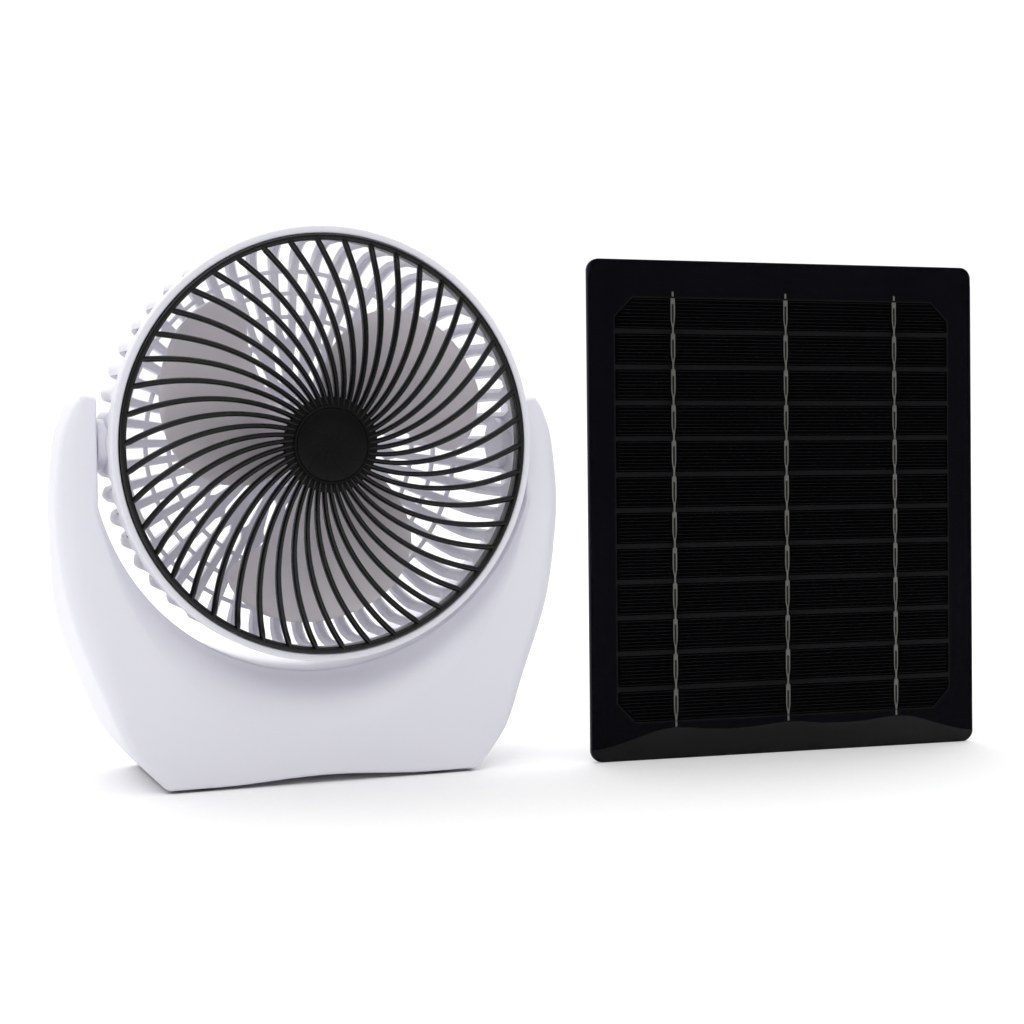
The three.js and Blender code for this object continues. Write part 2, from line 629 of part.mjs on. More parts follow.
function motor(group) {
  const can = turned(
    [
      [2.9, CAN_FRONT],
      [MOTOR_RADIUS - 0.6, CAN_FRONT],
      [MOTOR_RADIUS, CAN_FRONT + 0.6],
      [MOTOR_RADIUS, CAN_BACK],
      [MOTOR_RADIUS - 1, CAN_BACK],
      [MOTOR_RADIUS - 1, CAN_FRONT + 1.2],
      [2.9, CAN_FRONT + 1.2],
    ],
    24,
  );
  const taps = MOTOR_SCREWS.map(([x, z]) => rodY(1.3, [4, 9], x, z, 10));
  piece(group, "motor_can", cut(can, ...taps), steel);
  const lid = turned(
    [
      [2.9, CAN_BACK + GAP],
      [MOTOR_RADIUS, CAN_BACK + GAP],
      [MOTOR_RADIUS, CAN_BACK + GAP + 1.4],
      [2.9, CAN_BACK + GAP + 1.4],
    ],
    24,
  );
  piece(group, "motor_end_cap", lid, nylon);
  const bush = (y0, y1) => cut(rodY(2.6, [y0, y1]), rodY(SHAFT_RADIUS + 0.1, [y0 - 1, y1 + 1]));
  piece(group, "motor_bush_front", bush(CAN_FRONT - 0.6, CAN_FRONT + 2.6), brass);
  piece(group, "motor_bush_rear", bush(CAN_BACK - 1.4, CAN_BACK + 2.2), brass);

  [["magnet_upper", 0], ["magnet_lower", Math.PI]].forEach(([name, turn]) => {
    const shape = new THREE.Shape();
    shape.absarc(0, 0, MAGNET_RADII[1], Math.PI / 6, (5 * Math.PI) / 6);
    shape.absarc(0, 0, MAGNET_RADII[0], (5 * Math.PI) / 6, Math.PI / 6, true);
    piece(group, name, slab(shape, [10, 25], 5), ferrite).rotation.y = turn;
  });

  MOTOR_SCREWS.forEach(([x, z], i) => {
    const under = CUP_FRONT - GAP;
    const screw = screwY(1, [under - 0.5, CAN_FRONT + 2], 1.9, [under - 1.5, under]);
    piece(group, "motor_screw_" + (i + 1), screw, steel, [x, 0, z]);
  });
}

// The impeller: a cup-shaped hub with three broad, swept and pitched blades.
const IMPELLER_FRONT = -19;
const IMPELLER_BACK = 1.2;
const IMPELLER_RADIUS = 17;
const BLADE_THICK = 1.6;
const FIRST_BLADE = THREE.MathUtils.degToRad(52);
const BLADE_ROOT = 20;
const BLADE_HALF = 41; // degrees each way from the blade's middle at its root
const BLADE_TAPER = 0.12; // degrees lost for each millimetre outwards
const BLADE_SWEEP = 32; // degrees that the blade's middle falls back at a radius of 70
const TIP_START = 50; // where the rounding of the blade's end starts
const BLADE_MIDDLE = -6.5; // y of a blade's middle line
const BLADE_RISE = [7, 11]; // half the blade's depth along the axis, at its root and its tip
const BLADE_CAMBER = 1.6;

function bladeSpan(r) {
  const out = Math.max(r - BLADE_ROOT, 0) / 50;
  const tip = Math.min(Math.max(r - TIP_START, 0) / (BLADE_TIP - TIP_START), 1);
  const half = (BLADE_HALF - BLADE_TAPER * (r - BLADE_ROOT)) * (1 - tip ** 2.5) ** 0.6;
  return [-BLADE_SWEEP * out ** 1.6, half].map(THREE.MathUtils.degToRad);
}

function blade(turn, rows, columns) {
  const loops = [];
  for (let i = 0; i <= rows; i++) {
    const part = i / rows;
    const r = mix(IMPELLER_RADIUS - 1, BLADE_TIP - 0.3, 1 - (1 - part) ** 1.5);
    const [centre, half] = bladeSpan(r);
    const rise = mix(...BLADE_RISE, smooth(r, IMPELLER_RADIUS, 55));
    const front = [];
    const back = [];
    for (let j = 0; j <= columns; j++) {
      const across = (2 * j) / columns - 1;
      const angle = turn + centre + half * across;
      const camber = BLADE_CAMBER * (1 - across ** 2);
      const y = BLADE_MIDDLE - rise * across * Math.min(2 * half, 1) - camber;
      const thick = (BLADE_THICK / 2) * (1 - 0.5 * across ** 2);
      const [x, z] = [r * Math.cos(angle), r * Math.sin(angle)];
      front.push(new THREE.Vector3(x, y - thick, z));
      back.push(new THREE.Vector3(x, y + thick, z));
    }
    loops.push([...back, ...front.reverse()]);
  }
  return loft(loops);
}

function impeller(group) {
  const cup = turned(
    [
      [0, IMPELLER_FRONT],
      [12, IMPELLER_FRONT],
      [15.6, IMPELLER_FRONT + 1.2],
      [IMPELLER_RADIUS, IMPELLER_FRONT + 4],
      [IMPELLER_RADIUS, IMPELLER_BACK],
      [IMPELLER_RADIUS - 2, IMPELLER_BACK],
      [IMPELLER_RADIUS - 2, IMPELLER_FRONT + 3.4],
      [4.5, IMPELLER_FRONT + 3.4],
      [4.5, IMPELLER_BACK],
      [0, IMPELLER_BACK],
    ],
    24,
  );
  const blades = [];
  for (let i = 0; i < BLADES; i++) blades.push(blade(FIRST_BLADE + (i * 2 * Math.PI) / BLADES, 7, 5));
  const bore = rodY(SHAFT_RADIUS + GAP, [-40, 40], 0, 0, 16);
  piece(group, "impeller", cut(join(cup, ...blades), bore), milkyPlastic);
  piece(group, "motor_shaft", rodY(SHAFT_RADIUS, [IMPELLER_FRONT - 2, 31.5], 0, 0, 16), steel);
  const core = rodY(11, [11, 24], 0, 0, 16);
  piece(group, "motor_rotor", cut(core, rodY(SHAFT_RADIUS + GAP, [9, 26], 0, 0, 16)), steel);
  const cap = turned(
    [
      [0, IMPELLER_FRONT - 3.4],
      [3.5, IMPELLER_FRONT - 2.6],
      [5, IMPELLER_FRONT - GAP],
      [SHAFT_RADIUS + GAP, IMPELLER_FRONT - GAP],
      [SHAFT_RADIUS + GAP, IMPELLER_FRONT - 2.2],
      [0, IMPELLER_FRONT - 2.2],
    ],
    20,
  );
  piece(group, "impeller_cap", cap, milkyPlastic);
}

// The solar panel, drawn upright with its front at y = 0 and its lower edge on z = 0.
const ARRAY_HEIGHT = (STRIPS - 1) * STRIP_PITCH + STRIP_HEIGHT;
const ARRAY_BASE = (PANEL_HEIGHT - ARRAY_HEIGHT) / 2;
const CHAMFER = 8;
const LAYERS = {
  film: [0, FILM_THICK],
  ribbon: [FILM_THICK + FILM_GAP, FILM_THICK + FILM_GAP + RIBBON_THICK],
};
LAYERS.cell = [LAYERS.ribbon[1] + FILM_GAP, LAYERS.ribbon[1] + FILM_GAP + CELL_THICK];
LAYERS.board = [LAYERS.cell[1] + FILM_GAP, LAYERS.cell[1] + FILM_GAP + BOARD_THICK];
const PANEL_BACK = LAYERS.board[1];
const PANEL_LIFT = PANEL_BACK * Math.sin(PANEL_LEAN); // stands the leaning board's edge on the floor

function cellString() {
  const strips = [];
  for (let i = 0; i < STRIPS; i++) {
    const z0 = ARRAY_BASE + i * STRIP_PITCH;
    const z1 = z0 + STRIP_HEIGHT;
    const half = CELL_WIDTH / 2;
    const low = i === 0 ? CHAMFER : 0;
    const high = i === STRIPS - 1 ? CHAMFER : 0;
    const outline = [
      [-half + low, z0],
      [half - low, z0],
      [half, z0 + low],
      [half, z1 - high],
      [half - high, z1],
      [-half + high, z1],
      [-half, z1 - high],
      [-half, z0 + low],
    ].map(([x, z]) => new THREE.Vector2(x, z));
    const corners = outline.filter((point, k) => k === 0 || point.distanceTo(outline[k - 1]) > 0);
    if (corners.at(-1).distanceTo(corners[0]) === 0) corners.pop();
    strips.push(slab(new THREE.Shape(corners), LAYERS.cell));
  }
  const depth = [LAYERS.cell[0] + 0.1, LAYERS.cell[1]];
  const spine = block([-0.9, 0.9], depth, [ARRAY_BASE + 2, ARRAY_BASE + ARRAY_HEIGHT - 2]);
  return join(...strips, spine);
}

function panelFace(group) {
  const outline = roundedRectangle(PANEL_WIDTH, PANEL_HEIGHT, PANEL_CORNER);
  piece(group, "panel_board", slab(outline, LAYERS.board, 4), blackBoard);
  piece(group, "cell_string", cellString(), cellBlack);
  [["left", -1], ["middle", 0], ["right", 1]].forEach(([side, s]) => {
    const x = s * RIBBON_PITCH;
    const ends = [ARRAY_BASE - 3, ARRAY_BASE + ARRAY_HEIGHT + 3];
    const ribbon = block([x - RIBBON_WIDTH / 2, x + RIBBON_WIDTH / 2], LAYERS.ribbon, ends);
    piece(group, "ribbon_" + side, ribbon, tinnedCopper);
  });
  piece(group, "front_film", slab(outline, LAYERS.film, 4), clearFilm);
}

const BOX_LOW = 118;
const BOX_HALF = 21;
const BOX_HEIGHT = 34;
const BOX_DEPTH = 11;
const LID_SCREWS = [
  [-16, BOX_LOW + 5],
  [16, BOX_LOW + BOX_HEIGHT - 5],
];

function junctionBox(group) {
  const back = PANEL_BACK + GAP;
  const shape = roundedRectangle(2 * BOX_HALF, BOX_HEIGHT, 4, -BOX_HALF, BOX_LOW);
  const body = slab(shape, [back, back + BOX_DEPTH], 4);
  const room = block([-BOX_HALF + 2, BOX_HALF - 2], [back + 2, 40], [BOX_LOW + 2, BOX_LOW + BOX_HEIGHT - 2]);
  const posts = LID_SCREWS.map(([x, z]) => rodY(2.8, [back + 1, back + BOX_DEPTH], x, z, 10));
  const pilots = LID_SCREWS.map(([x, z]) => rodY(1.3, [back + 4, 40], x, z, 10));
  const exit = block([-5, 5], [back + 3, back + 8], [BOX_LOW - 5, BOX_LOW + 5]);
  const box = cut(join(cut(body, room), ...posts), ...pilots, exit);
  piece(group, "junction_box", box, blackPlastic);

  const lidFront = back + BOX_DEPTH + GAP;
  const holes = LID_SCREWS.flatMap(([x, z]) => [
    rodY(1.3, [0, 40], x, z, 10),
    rodY(2.3, [lidFront + 1, 40], x, z, 10),
  ]);
  piece(group, "junction_lid", cut(slab(shape, [lidFront, lidFront + 2.4], 4), ...holes), blackPlastic);
  LID_SCREWS.forEach(([x, z], i) => {
    const seat = lidFront + 1 + GAP;
    const screw = screwY(1, [back + 5, seat + 0.5], 2, [seat, seat + 1]);
    piece(group, "lid_screw_" + (i + 1), screw, steel, [x, 0, z]);
  });
  const socket = cut(
    join(
      block([-4.6, 4.6], [back + 3.4, back + 7.6], [BOX_LOW - 1, BOX_LOW + 4]),
      block([-6.5, 6.5], [back + 3.4, back + 7.6], [BOX_LOW + 2 + GAP, BOX_LOW + 4]),
    ),
    block([-3, 3], [back + 4.6, back + 6.4], [BOX_LOW - 3, BOX_LOW + 2]),
  );
  piece(group, "output_socket", socket, ferrite);
}

// The panel's fold-out leg, on a bracket below the junction box.
const HINGE_Z = 98;
const HINGE_Y = PANEL_BACK + 7.5;
const LEG_THICK = 1.6; // half its thickness
const LEG_OPEN = THREE.MathUtils.degToRad(20);
const LEG_HALF = 24;
const LEG_RAIL = 9; // width of the leg's side rails
const LEG_BAR = 16; // height of the bars above and below its window
const EAR = [26.5, 30]; // a bracket ear's limits along the hinge
const LEG_BORE = 2.3;

function legBracket(group) {
  const back = PANEL_BACK + GAP;
  const foot = block([-EAR[1], EAR[1]], [back, back + 2], [HINGE_Z - 9, HINGE_Z + 9]);
  const ears = [EAR, [-EAR[1], -EAR[0]]].map((x) =>
    join(block(x, [back + 1, HINGE_Y], [HINGE_Z - 5, HINGE_Z + 5]), rodX(5, x, HINGE_Y, HINGE_Z, 20)),
  );
  const bore = rodX(LEG_BORE, [-40, 40], HINGE_Y, HINGE_Z);
  piece(group, "leg_bracket", cut(join(foot, ...ears), bore), blackPlastic);
  piece(group, "leg_pin", rodX(2, [-EAR[1] - 1, EAR[1] + 1], HINGE_Y, HINGE_Z), steel);
}

function supportLeg(group) {
  const height = PANEL_LIFT + HINGE_Z * Math.cos(PANEL_LEAN) - HINGE_Y * Math.sin(PANEL_LEAN);
  const reach = (height - LEG_THICK * Math.sin(LEG_OPEN)) / Math.cos(LEG_OPEN);
  const shape = roundedRectangle(2 * LEG_HALF, reach, 4, -LEG_HALF, -reach);
  const [windowWidth, windowHeight] = [2 * (LEG_HALF - LEG_RAIL), reach - 2 * LEG_BAR];
  shape.holes.push(roundedRectangle(windowWidth, windowHeight, 5, -windowWidth / 2, -reach + LEG_BAR));
  const arm = slab(shape, [-LEG_THICK, LEG_THICK], 4);
  const barrel = rodX(4.5, [-LEG_HALF, LEG_HALF]);
  const bore = rodX(LEG_BORE, [-40, 40]);
  const mesh = piece(group, "support_leg", cut(join(arm, barrel), bore), blackPlastic);
  mesh.position.set(0, HINGE_Y, HINGE_Z);
  mesh.rotation.x = LEG_OPEN + PANEL_LEAN;
}

const root = new THREE.Group();
const fan = new THREE.Group();
fan.position.set(...FAN_PLACE, 0);
root.add(fan);
baseShells(fan);
baseFloor(fan);
battery(fan);
chargeCircuit(fan);
pivotBushes(fan);

const head = new THREE.Group();
head.position.z = PIVOT_HEIGHT;
fan.add(head);
pivotPins(head);
rearHousing(head);
frontGrille(head);
motor(head);
impeller(head);

const panel = new THREE.Group();
panel.position.set(FAN_PLACE[0] + PANEL_PLACE[0], FAN_PLACE[1] + PANEL_PLACE[1], PANEL_LIFT);
panel.rotation.set(-PANEL_LEAN, 0, PANEL_YAW, "ZXY");
root.add(panel);
panelFace(panel);
junctionBox(panel);
legBracket(panel);
supportLeg(panel);

export default root;
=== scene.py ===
"""Tilting table fan with its standing solar panel: the visible pieces, laid out as an add-on and run
as a script. Lengths in the makers below are millimetres; each maker's place matrix turns them into
the frame's metres."""
import math

import bmesh
import bpy
import numpy as np
from mathutils import Matrix, Vector


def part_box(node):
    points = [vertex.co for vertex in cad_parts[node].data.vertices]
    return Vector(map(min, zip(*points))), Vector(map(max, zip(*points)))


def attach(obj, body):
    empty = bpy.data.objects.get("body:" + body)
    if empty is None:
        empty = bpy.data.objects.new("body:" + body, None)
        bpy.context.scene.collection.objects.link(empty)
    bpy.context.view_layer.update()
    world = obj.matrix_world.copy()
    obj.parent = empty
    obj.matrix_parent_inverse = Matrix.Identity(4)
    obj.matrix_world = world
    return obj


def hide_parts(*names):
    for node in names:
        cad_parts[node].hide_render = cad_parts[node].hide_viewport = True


bl_info = {
    "name": "Solar table fan",
    "version": (1, 0, 0),
    "blender": (4, 5, 0),
    "location": "View3D > Sidebar > Solar fan",
    "description": "Builds a tilting table fan and its solar charging panel piece by piece",
    "category": "Add Mesh",
}

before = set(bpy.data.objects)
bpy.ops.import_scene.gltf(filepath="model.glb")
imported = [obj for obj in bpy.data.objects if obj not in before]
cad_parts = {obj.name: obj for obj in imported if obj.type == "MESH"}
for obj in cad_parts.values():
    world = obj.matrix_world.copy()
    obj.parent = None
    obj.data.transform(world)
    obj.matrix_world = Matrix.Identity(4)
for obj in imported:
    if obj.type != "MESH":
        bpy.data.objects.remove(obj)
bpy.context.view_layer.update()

MM = 0.001
PIN_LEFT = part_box("pivot_pin_left")
PIN_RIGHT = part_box("pivot_pin_right")
PIVOT = (PIN_LEFT[0] + PIN_LEFT[1] + PIN_RIGHT[0] + PIN_RIGHT[1]) / 4
PIVOT_HEIGHT = PIVOT.z / MM

# Places: the fan's own frame stands on the floor under the pivot, the head's is at the pivot.
FAN = Matrix.Translation((PIVOT.x, PIVOT.y, 0)) @ Matrix.Scale(MM, 4)
HEAD = Matrix.Translation(PIVOT) @ Matrix.Scale(MM, 4)
PANEL_FROM_FAN = (203.0, -30.5)
PANEL_YAW = math.radians(-5)
PANEL_LEAN = math.radians(2)
BOARD_BACK = 3.0
PANEL = (
    FAN
    @ Matrix.Translation((*PANEL_FROM_FAN, BOARD_BACK * math.sin(PANEL_LEAN)))
    @ Matrix.Rotation(PANEL_YAW, 4, "Z")
    @ Matrix.Rotation(-PANEL_LEAN, 4, "X")
)


# Small helpers for numbers.

def mix(a, b, share):
    return a + (b - a) * share


def smooth(value, low, high):
    share = min(max((value - low) / (high - low), 0.0), 1.0)
    return share * share * (3 - 2 * share)


def curve_through(points, share):
    """A point on the smooth curve through points, with share going from 0 to 1 along it."""
    place = share * (len(points) - 1)
    start = min(int(place), len(points) - 2)
    t = place - start
    p0, p1 = points[max(start - 1, 0)], points[start]
    p2, p3 = points[start + 1], points[min(start + 2, len(points) - 1)]
    out = []
    for a, b, c, d in zip(p0, p1, p2, p3):
        v0, v1 = (c - a) / 2, (d - b) / 2
        out.append(
            (2 * b - 2 * c + v0 + v1) * t**3 + (3 * c - 3 * b - 2 * v0 - v1) * t**2 + v0 * t + b
        )
    return out


def rounded_path(corners, radius, steps=6):
    """An open path through corners, with each inner corner rounded."""
    path = [corners[0]]
    for before, corner, after in zip(corners, corners[1:], corners[2:]):
        c = Vector(corner)
        ends = []
        for other in (before, after):
            way = Vector(other) - c
            ends.append(c + way.normalized() * min(radius, way.length * 0.45))
        for k in range(steps + 1):
            t = k / steps
            path.append(tuple(ends[0] * (1 - t) ** 2 + c * 2 * t * (1 - t) + ends[1] * t**2))
    path.append(corners[-1])
    return path


def rounded_loop(corners, radius, steps=5):
    """A closed loop through corners, all rounded."""
    wrapped = [corners[-1], *corners, corners[0]]
    return rounded_path(wrapped, radius, steps)[1:-1]


def even_path(path, spacing):
    """The same path with points about spacing apart."""
    points = [Vector(p) for p in path]
    out = [points[0]]
    for a, b in zip(points, points[1:]):
        count = max(1, round((b - a).length / spacing))
        out.extend(a.lerp(b, (k + 1) / count) for k in range(count))
    return [tuple(p) for p in out]


def rounded_outline(width, height, radius, low=0.0, steps=8):
    """The (x, z) outline of an upright rounded rectangle that is centred on x = 0."""
    outline = []
    half = width / 2 - radius
    centres = [
        (half, low + radius, -90),
        (half, low + height - radius, 0),
        (-half, low + height - radius, 90),
        (-half, low + radius, 180),
    ]
    for cx, cz, start in centres:
        for k in range(steps + 1):
            a = math.radians(start + 90 * k / steps)
            outline.append((cx + radius * math.cos(a), cz + radius * math.sin(a)))
    return outline


class Shape:
    """Points in millimetres and the faces between them, gathered before they become a mesh."""

    def __init__(self):
        self.points = []
        self.faces = []

    def add(self, points, faces):
        start = len(self.points)
        self.points.extend(tuple(p) for p in points)
        self.faces.extend(tuple(i + start for i in face) for face in faces)
        return self

    def grid(self, rows, closed_across=False, closed_along=False, keep=None):
        """Quads over equal rows of points; keep(row, column) says which stay."""
        count = len(rows[0])
        faces = []
        for i in range(len(rows) if closed_along else len(rows) - 1):
            for j in range(count if closed_across else count - 1):
                if keep is None or keep(i, j):
                    a, b = i * count + j, i * count + (j + 1) % count
                    below = ((i + 1) % len(rows)) * count
                    faces.append((a, b, below + (j + 1) % count, below + j))
        return self.add([p for row in rows for p in row], faces)

    def loft(self, loops):
        """A closed skin over matching closed loops, with a face on each end."""
        count = len(loops[0])
        start = len(self.points)
        self.grid(loops, closed_across=True)
        self.faces.append(tuple(start + i for i in range(count)))
        last = start + (len(loops) - 1) * count
        self.faces.append(tuple(last + i for i in reversed(range(count))))
        return self

    def lathe(self, loop, steps, axis="Y", centre=(0, 0, 0), open_ends=False):
        """loop holds (radius, place along the axis); open_ends is for a profile that ends on it."""
        cx, cy, cz = centre
        rows = []
        for k in range(steps):
            a = 2 * math.pi * k / steps
            c, s = math.cos(a), math.sin(a)
            turned = {
                "Y": [(cx + r * c, cy + y, cz + r * s) for r, y in loop],
                "X": [(cx + y, cy + r * c, cz + r * s) for r, y in loop],
                "Z": [(cx + r * c, cy + r * s, cz + y) for r, y in loop],
            }
            rows.append(turned[axis])
        return self.grid(rows, closed_across=not open_ends, closed_along=True)

    def slab(self, outline, y0, y1):
        """An upright (x, z) outline with its thickness along Y."""
        return self.loft([[(x, y, z) for x, z in outline] for y in (y0, y1)])

    def box(self, low, high):
        (x0, y0, z0), (x1, y1, z1) = low, high
        return self.loft([[(x0, y, z0), (x1, y, z0), (x1, y, z1), (x0, y, z1)] for y in (y0, y1)])


def build(name, shape, place, inside=None, sharp=32.0):
    """An object from a shape. inside is a point of the shape's own frame that an open sheet faces
    away from."""
    mesh = bpy.data.meshes.new(name)
    mesh.from_pydata([place @ Vector(p) for p in shape.points], [], shape.faces)
    made = bmesh.new()
    made.from_mesh(mesh)
    bmesh.ops.remove_doubles(made, verts=made.verts, dist=0.004 * MM)
    bmesh.ops.dissolve_degenerate(made, edges=made.edges, dist=0.001 * MM)
    bmesh.ops.recalc_face_normals(made, faces=made.faces)
    if inside is not None:
        middle = place @ Vector(inside)
        facing = sum(
            f.calc_area() * f.normal.dot((f.calc_center_median() - middle).normalized())
            for f in made.faces
        )
        if facing < 0:
            bmesh.ops.reverse_faces(made, faces=made.faces)
    made.to_mesh(mesh)
    made.free()
    mesh.shade_smooth()
    if sharp:
        mesh.set_sharp_from_angle(angle=math.radians(sharp))
    obj = bpy.data.objects.new(name, mesh)
    bpy.context.scene.collection.objects.link(obj)
    return obj


def settle(obj):
    """Turns the object's modifiers into its mesh."""
    bpy.context.view_layer.update()
    shown = obj.evaluated_get(bpy.context.evaluated_depsgraph_get())
    mesh = bpy.data.meshes.new_from_object(shown)
    obj.modifiers.clear()
    obj.data = mesh


def thicken(obj, wall):
    """Gives an open sheet its wall, on the inside."""
    skin = obj.modifiers.new("wall", "SOLIDIFY")
    skin.thickness = wall * MM
    skin.offset = -1
    skin.use_even_offset = True
    settle(obj)


def carve(obj, tool_shape, place):
    """Cuts a shape's closed bodies out of the object."""
    tool = build(obj.name + "_tool", tool_shape, place)
    cutting = obj.modifiers.new("cut", "BOOLEAN")
    cutting.object = tool
    cutting.solver = "EXACT"
    settle(obj)
    mesh = tool.data
    bpy.data.objects.remove(tool)
    bpy.data.meshes.remove(mesh)


def round_edges(obj, width, segments=3, angle=35.0):
    """A small moulded radius on every crisp edge."""
    rounding = obj.modifiers.new("edge_radius", "BEVEL")
    rounding.width = width * MM
    rounding.segments = segments
    rounding.limit_method = "ANGLE"
    rounding.angle_limit = math.radians(angle)
    rounding.harden_normals = True


def finish_piece(obj, body, finish, replaces=()):
    """Gives a piece its finish, the body it moves with, and the parts that it stands for."""
    obj.data.materials.clear()
    obj.data.materials.append(FINISHES[finish]())
    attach(obj, body)
    if replaces:
        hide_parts(*replaces)
    return obj


def refinish(finish, *nodes, radius=0.0):
    """Gives parts that keep their own shape a finish and softened edges."""
    for name in nodes:
        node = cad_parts[name]
        node.data.materials.clear()
        node.data.materials.append(FINISHES[finish]())
        if radius:
            node.data.shade_smooth()
            round_edges(node, radius, segments=2)


# Node groups that several finishes share.

def new_group(name, inputs, outputs):
    tree = bpy.data.node_groups.new(name, "ShaderNodeTree")
    for label, kind, default in inputs:
        socket = tree.interface.new_socket(label, in_out="INPUT", socket_type=kind)
        socket.default_value = default
    for label, kind in outputs:
        tree.interface.new_socket(label, in_out="OUTPUT", socket_type=kind)
    given = tree.nodes.new("NodeGroupInput")
    result = tree.nodes.new("NodeGroupOutput")
    return tree, given, result


def noise(tree, vector, scale, detail=3.0, roughness=0.55):
    node = tree.nodes.new("ShaderNodeTexNoise")
    node.inputs["Detail"].default_value = detail
    node.inputs["Roughness"].default_value = roughness
    if isinstance(scale, float):
        node.inputs["Scale"].default_value = scale
    else:
        tree.links.new(scale, node.inputs["Scale"])
    tree.links.new(vector, node.inputs["Vector"])
    return node


def ramp(tree, value, low, high, to_low=0.0, to_high=1.0):
    node = tree.nodes.new("ShaderNodeMapRange")
    node.interpolation_type = "SMOOTHSTEP"
    node.inputs["From Min"].default_value = low
    node.inputs["From Max"].default_value = high
    node.inputs["To Min"].default_value = to_low
    node.inputs["To Max"].default_value = to_high
    tree.links.new(value, node.inputs["Value"])
    return node.outputs["Result"]


def math_node(tree, operation, a, b):
    node = tree.nodes.new("ShaderNodeMath")
    node.operation = operation
    for socket, value in zip(node.inputs, (a, b)):
        if isinstance(value, (int, float)):
            socket.default_value = value
        else:
            tree.links.new(value, socket)
    return node.outputs[0]


def mix_colour(tree, share, a, b, blend="MIX"):
    node = tree.nodes.new("ShaderNodeMix")
    node.data_type = "RGBA"
    node.blend_type = blend
    for socket, value in zip((node.inputs[0], node.inputs[6], node.inputs[7]), (share, a, b)):
        if isinstance(value, (int, float)):
            socket.default_value = value
        elif isinstance(value, tuple):
            socket.default_value = (*value[:3], 1)
        else:
            tree.links.new(value, socket)
    return node.outputs[2]


def moulded_skin_group():
    """Slow tone changes and the fine spark-eroded grain of an injection moulding."""
    name = "Moulded skin"
    if name in bpy.data.node_groups:
        return bpy.data.node_groups[name]
    tree, given, result = new_group(
        name,
        [
            ("Colour", "NodeSocketColor", (0.8, 0.8, 0.8, 1)),
            ("Shade Colour", "NodeSocketColor", (0.7, 0.7, 0.7, 1)),
            ("Grain Scale", "NodeSocketFloat", 1800.0),
            ("Roughness", "NodeSocketFloat", 0.4),
            ("Roughness Spread", "NodeSocketFloat", 0.06),
        ],
        [("Colour", "NodeSocketColor"), ("Roughness", "NodeSocketFloat"), ("Height", "NodeSocketFloat")],
    )
    where = tree.nodes.new("ShaderNodeTexCoord").outputs["Object"]
    flow = noise(tree, where, 14.0, detail=2.0)
    tone = ramp(tree, flow.outputs["Fac"], 0.3, 0.75)
    tree.links.new(
        mix_colour(tree, tone, given.outputs["Colour"], given.outputs["Shade Colour"]),
        result.inputs["Colour"],
    )
    smear = noise(tree, where, 60.0, detail=3.0)
    spread = math_node(tree, "MULTIPLY", smear.outputs["Fac"], given.outputs["Roughness Spread"])
    tree.links.new(
        math_node(tree, "ADD", given.outputs["Roughness"], spread), result.inputs["Roughness"]
    )
    grain = noise(tree, where, given.outputs["Grain Scale"], detail=2.0)
    tree.links.new(grain.outputs["Fac"], result.inputs["Height"])
    return tree


def edge_wear_group():
    """A mask and a colour for the outer edges that hands and cloths polish."""
    name = "Edge wear"
    if name in bpy.data.node_groups:
        return bpy.data.node_groups[name]
    tree, given, result = new_group(
        name,
        [
            ("Colour", "NodeSocketColor", (0.8, 0.8, 0.8, 1)),
            ("Worn Colour", "NodeSocketColor", (0.9, 0.9, 0.9, 1)),
            ("Amount", "NodeSocketFloat", 0.5),
        ],
        [("Colour", "NodeSocketColor"), ("Mask", "NodeSocketFloat")],
    )
    edges = tree.nodes.new("ShaderNodeNewGeometry").outputs["Pointiness"]
    where = tree.nodes.new("ShaderNodeTexCoord").outputs["Object"]
    patches = noise(tree, where, 90.0, detail=4.0)
    crest = ramp(tree, edges, 0.52, 0.62)
    broken = math_node(tree, "MULTIPLY", crest, ramp(tree, patches.outputs["Fac"], 0.3, 0.6))
    mask = math_node(tree, "MULTIPLY", broken, given.outputs["Amount"])
    tree.links.new(mask, result.inputs["Mask"])
    tree.links.new(
        mix_colour(tree, mask, given.outputs["Colour"], given.outputs["Worn Colour"]),
        result.inputs["Colour"],
    )
    return tree


def settled_dust_group():
    """Thin dust on faces that look up, as a colour and more roughness."""
    name = "Settled dust"
    if name in bpy.data.node_groups:
        return bpy.data.node_groups[name]
    tree, given, result = new_group(
        name,
        [
            ("Colour", "NodeSocketColor", (0.8, 0.8, 0.8, 1)),
            ("Roughness", "NodeSocketFloat", 0.4),
            ("Dust Colour", "NodeSocketColor", (0.62, 0.6, 0.57, 1)),
            ("Amount", "NodeSocketFloat", 0.1),
        ],
        [("Colour", "NodeSocketColor"), ("Roughness", "NodeSocketFloat")],
    )
    split = tree.nodes.new("ShaderNodeSeparateXYZ")
    tree.links.new(tree.nodes.new("ShaderNodeNewGeometry").outputs["Normal"], split.inputs[0])
    where = tree.nodes.new("ShaderNodeTexCoord").outputs["Object"]
    specks = noise(tree, where, 700.0, detail=4.0, roughness=0.7)
    up = ramp(tree, split.outputs["Z"], 0.35, 0.95)
    cover = math_node(tree, "MULTIPLY", up, ramp(tree, specks.outputs["Fac"], 0.42, 0.6))
    mask = math_node(tree, "MULTIPLY", cover, given.outputs["Amount"])
    tree.links.new(
        mix_colour(tree, mask, given.outputs["Colour"], given.outputs["Dust Colour"]),
        result.inputs["Colour"],
    )
    tree.links.new(
        math_node(tree, "ADD", given.outputs["Roughness"], math_node(tree, "MULTIPLY", mask, 0.4)),
        result.inputs["Roughness"],
    )
    return tree


# Finishes.

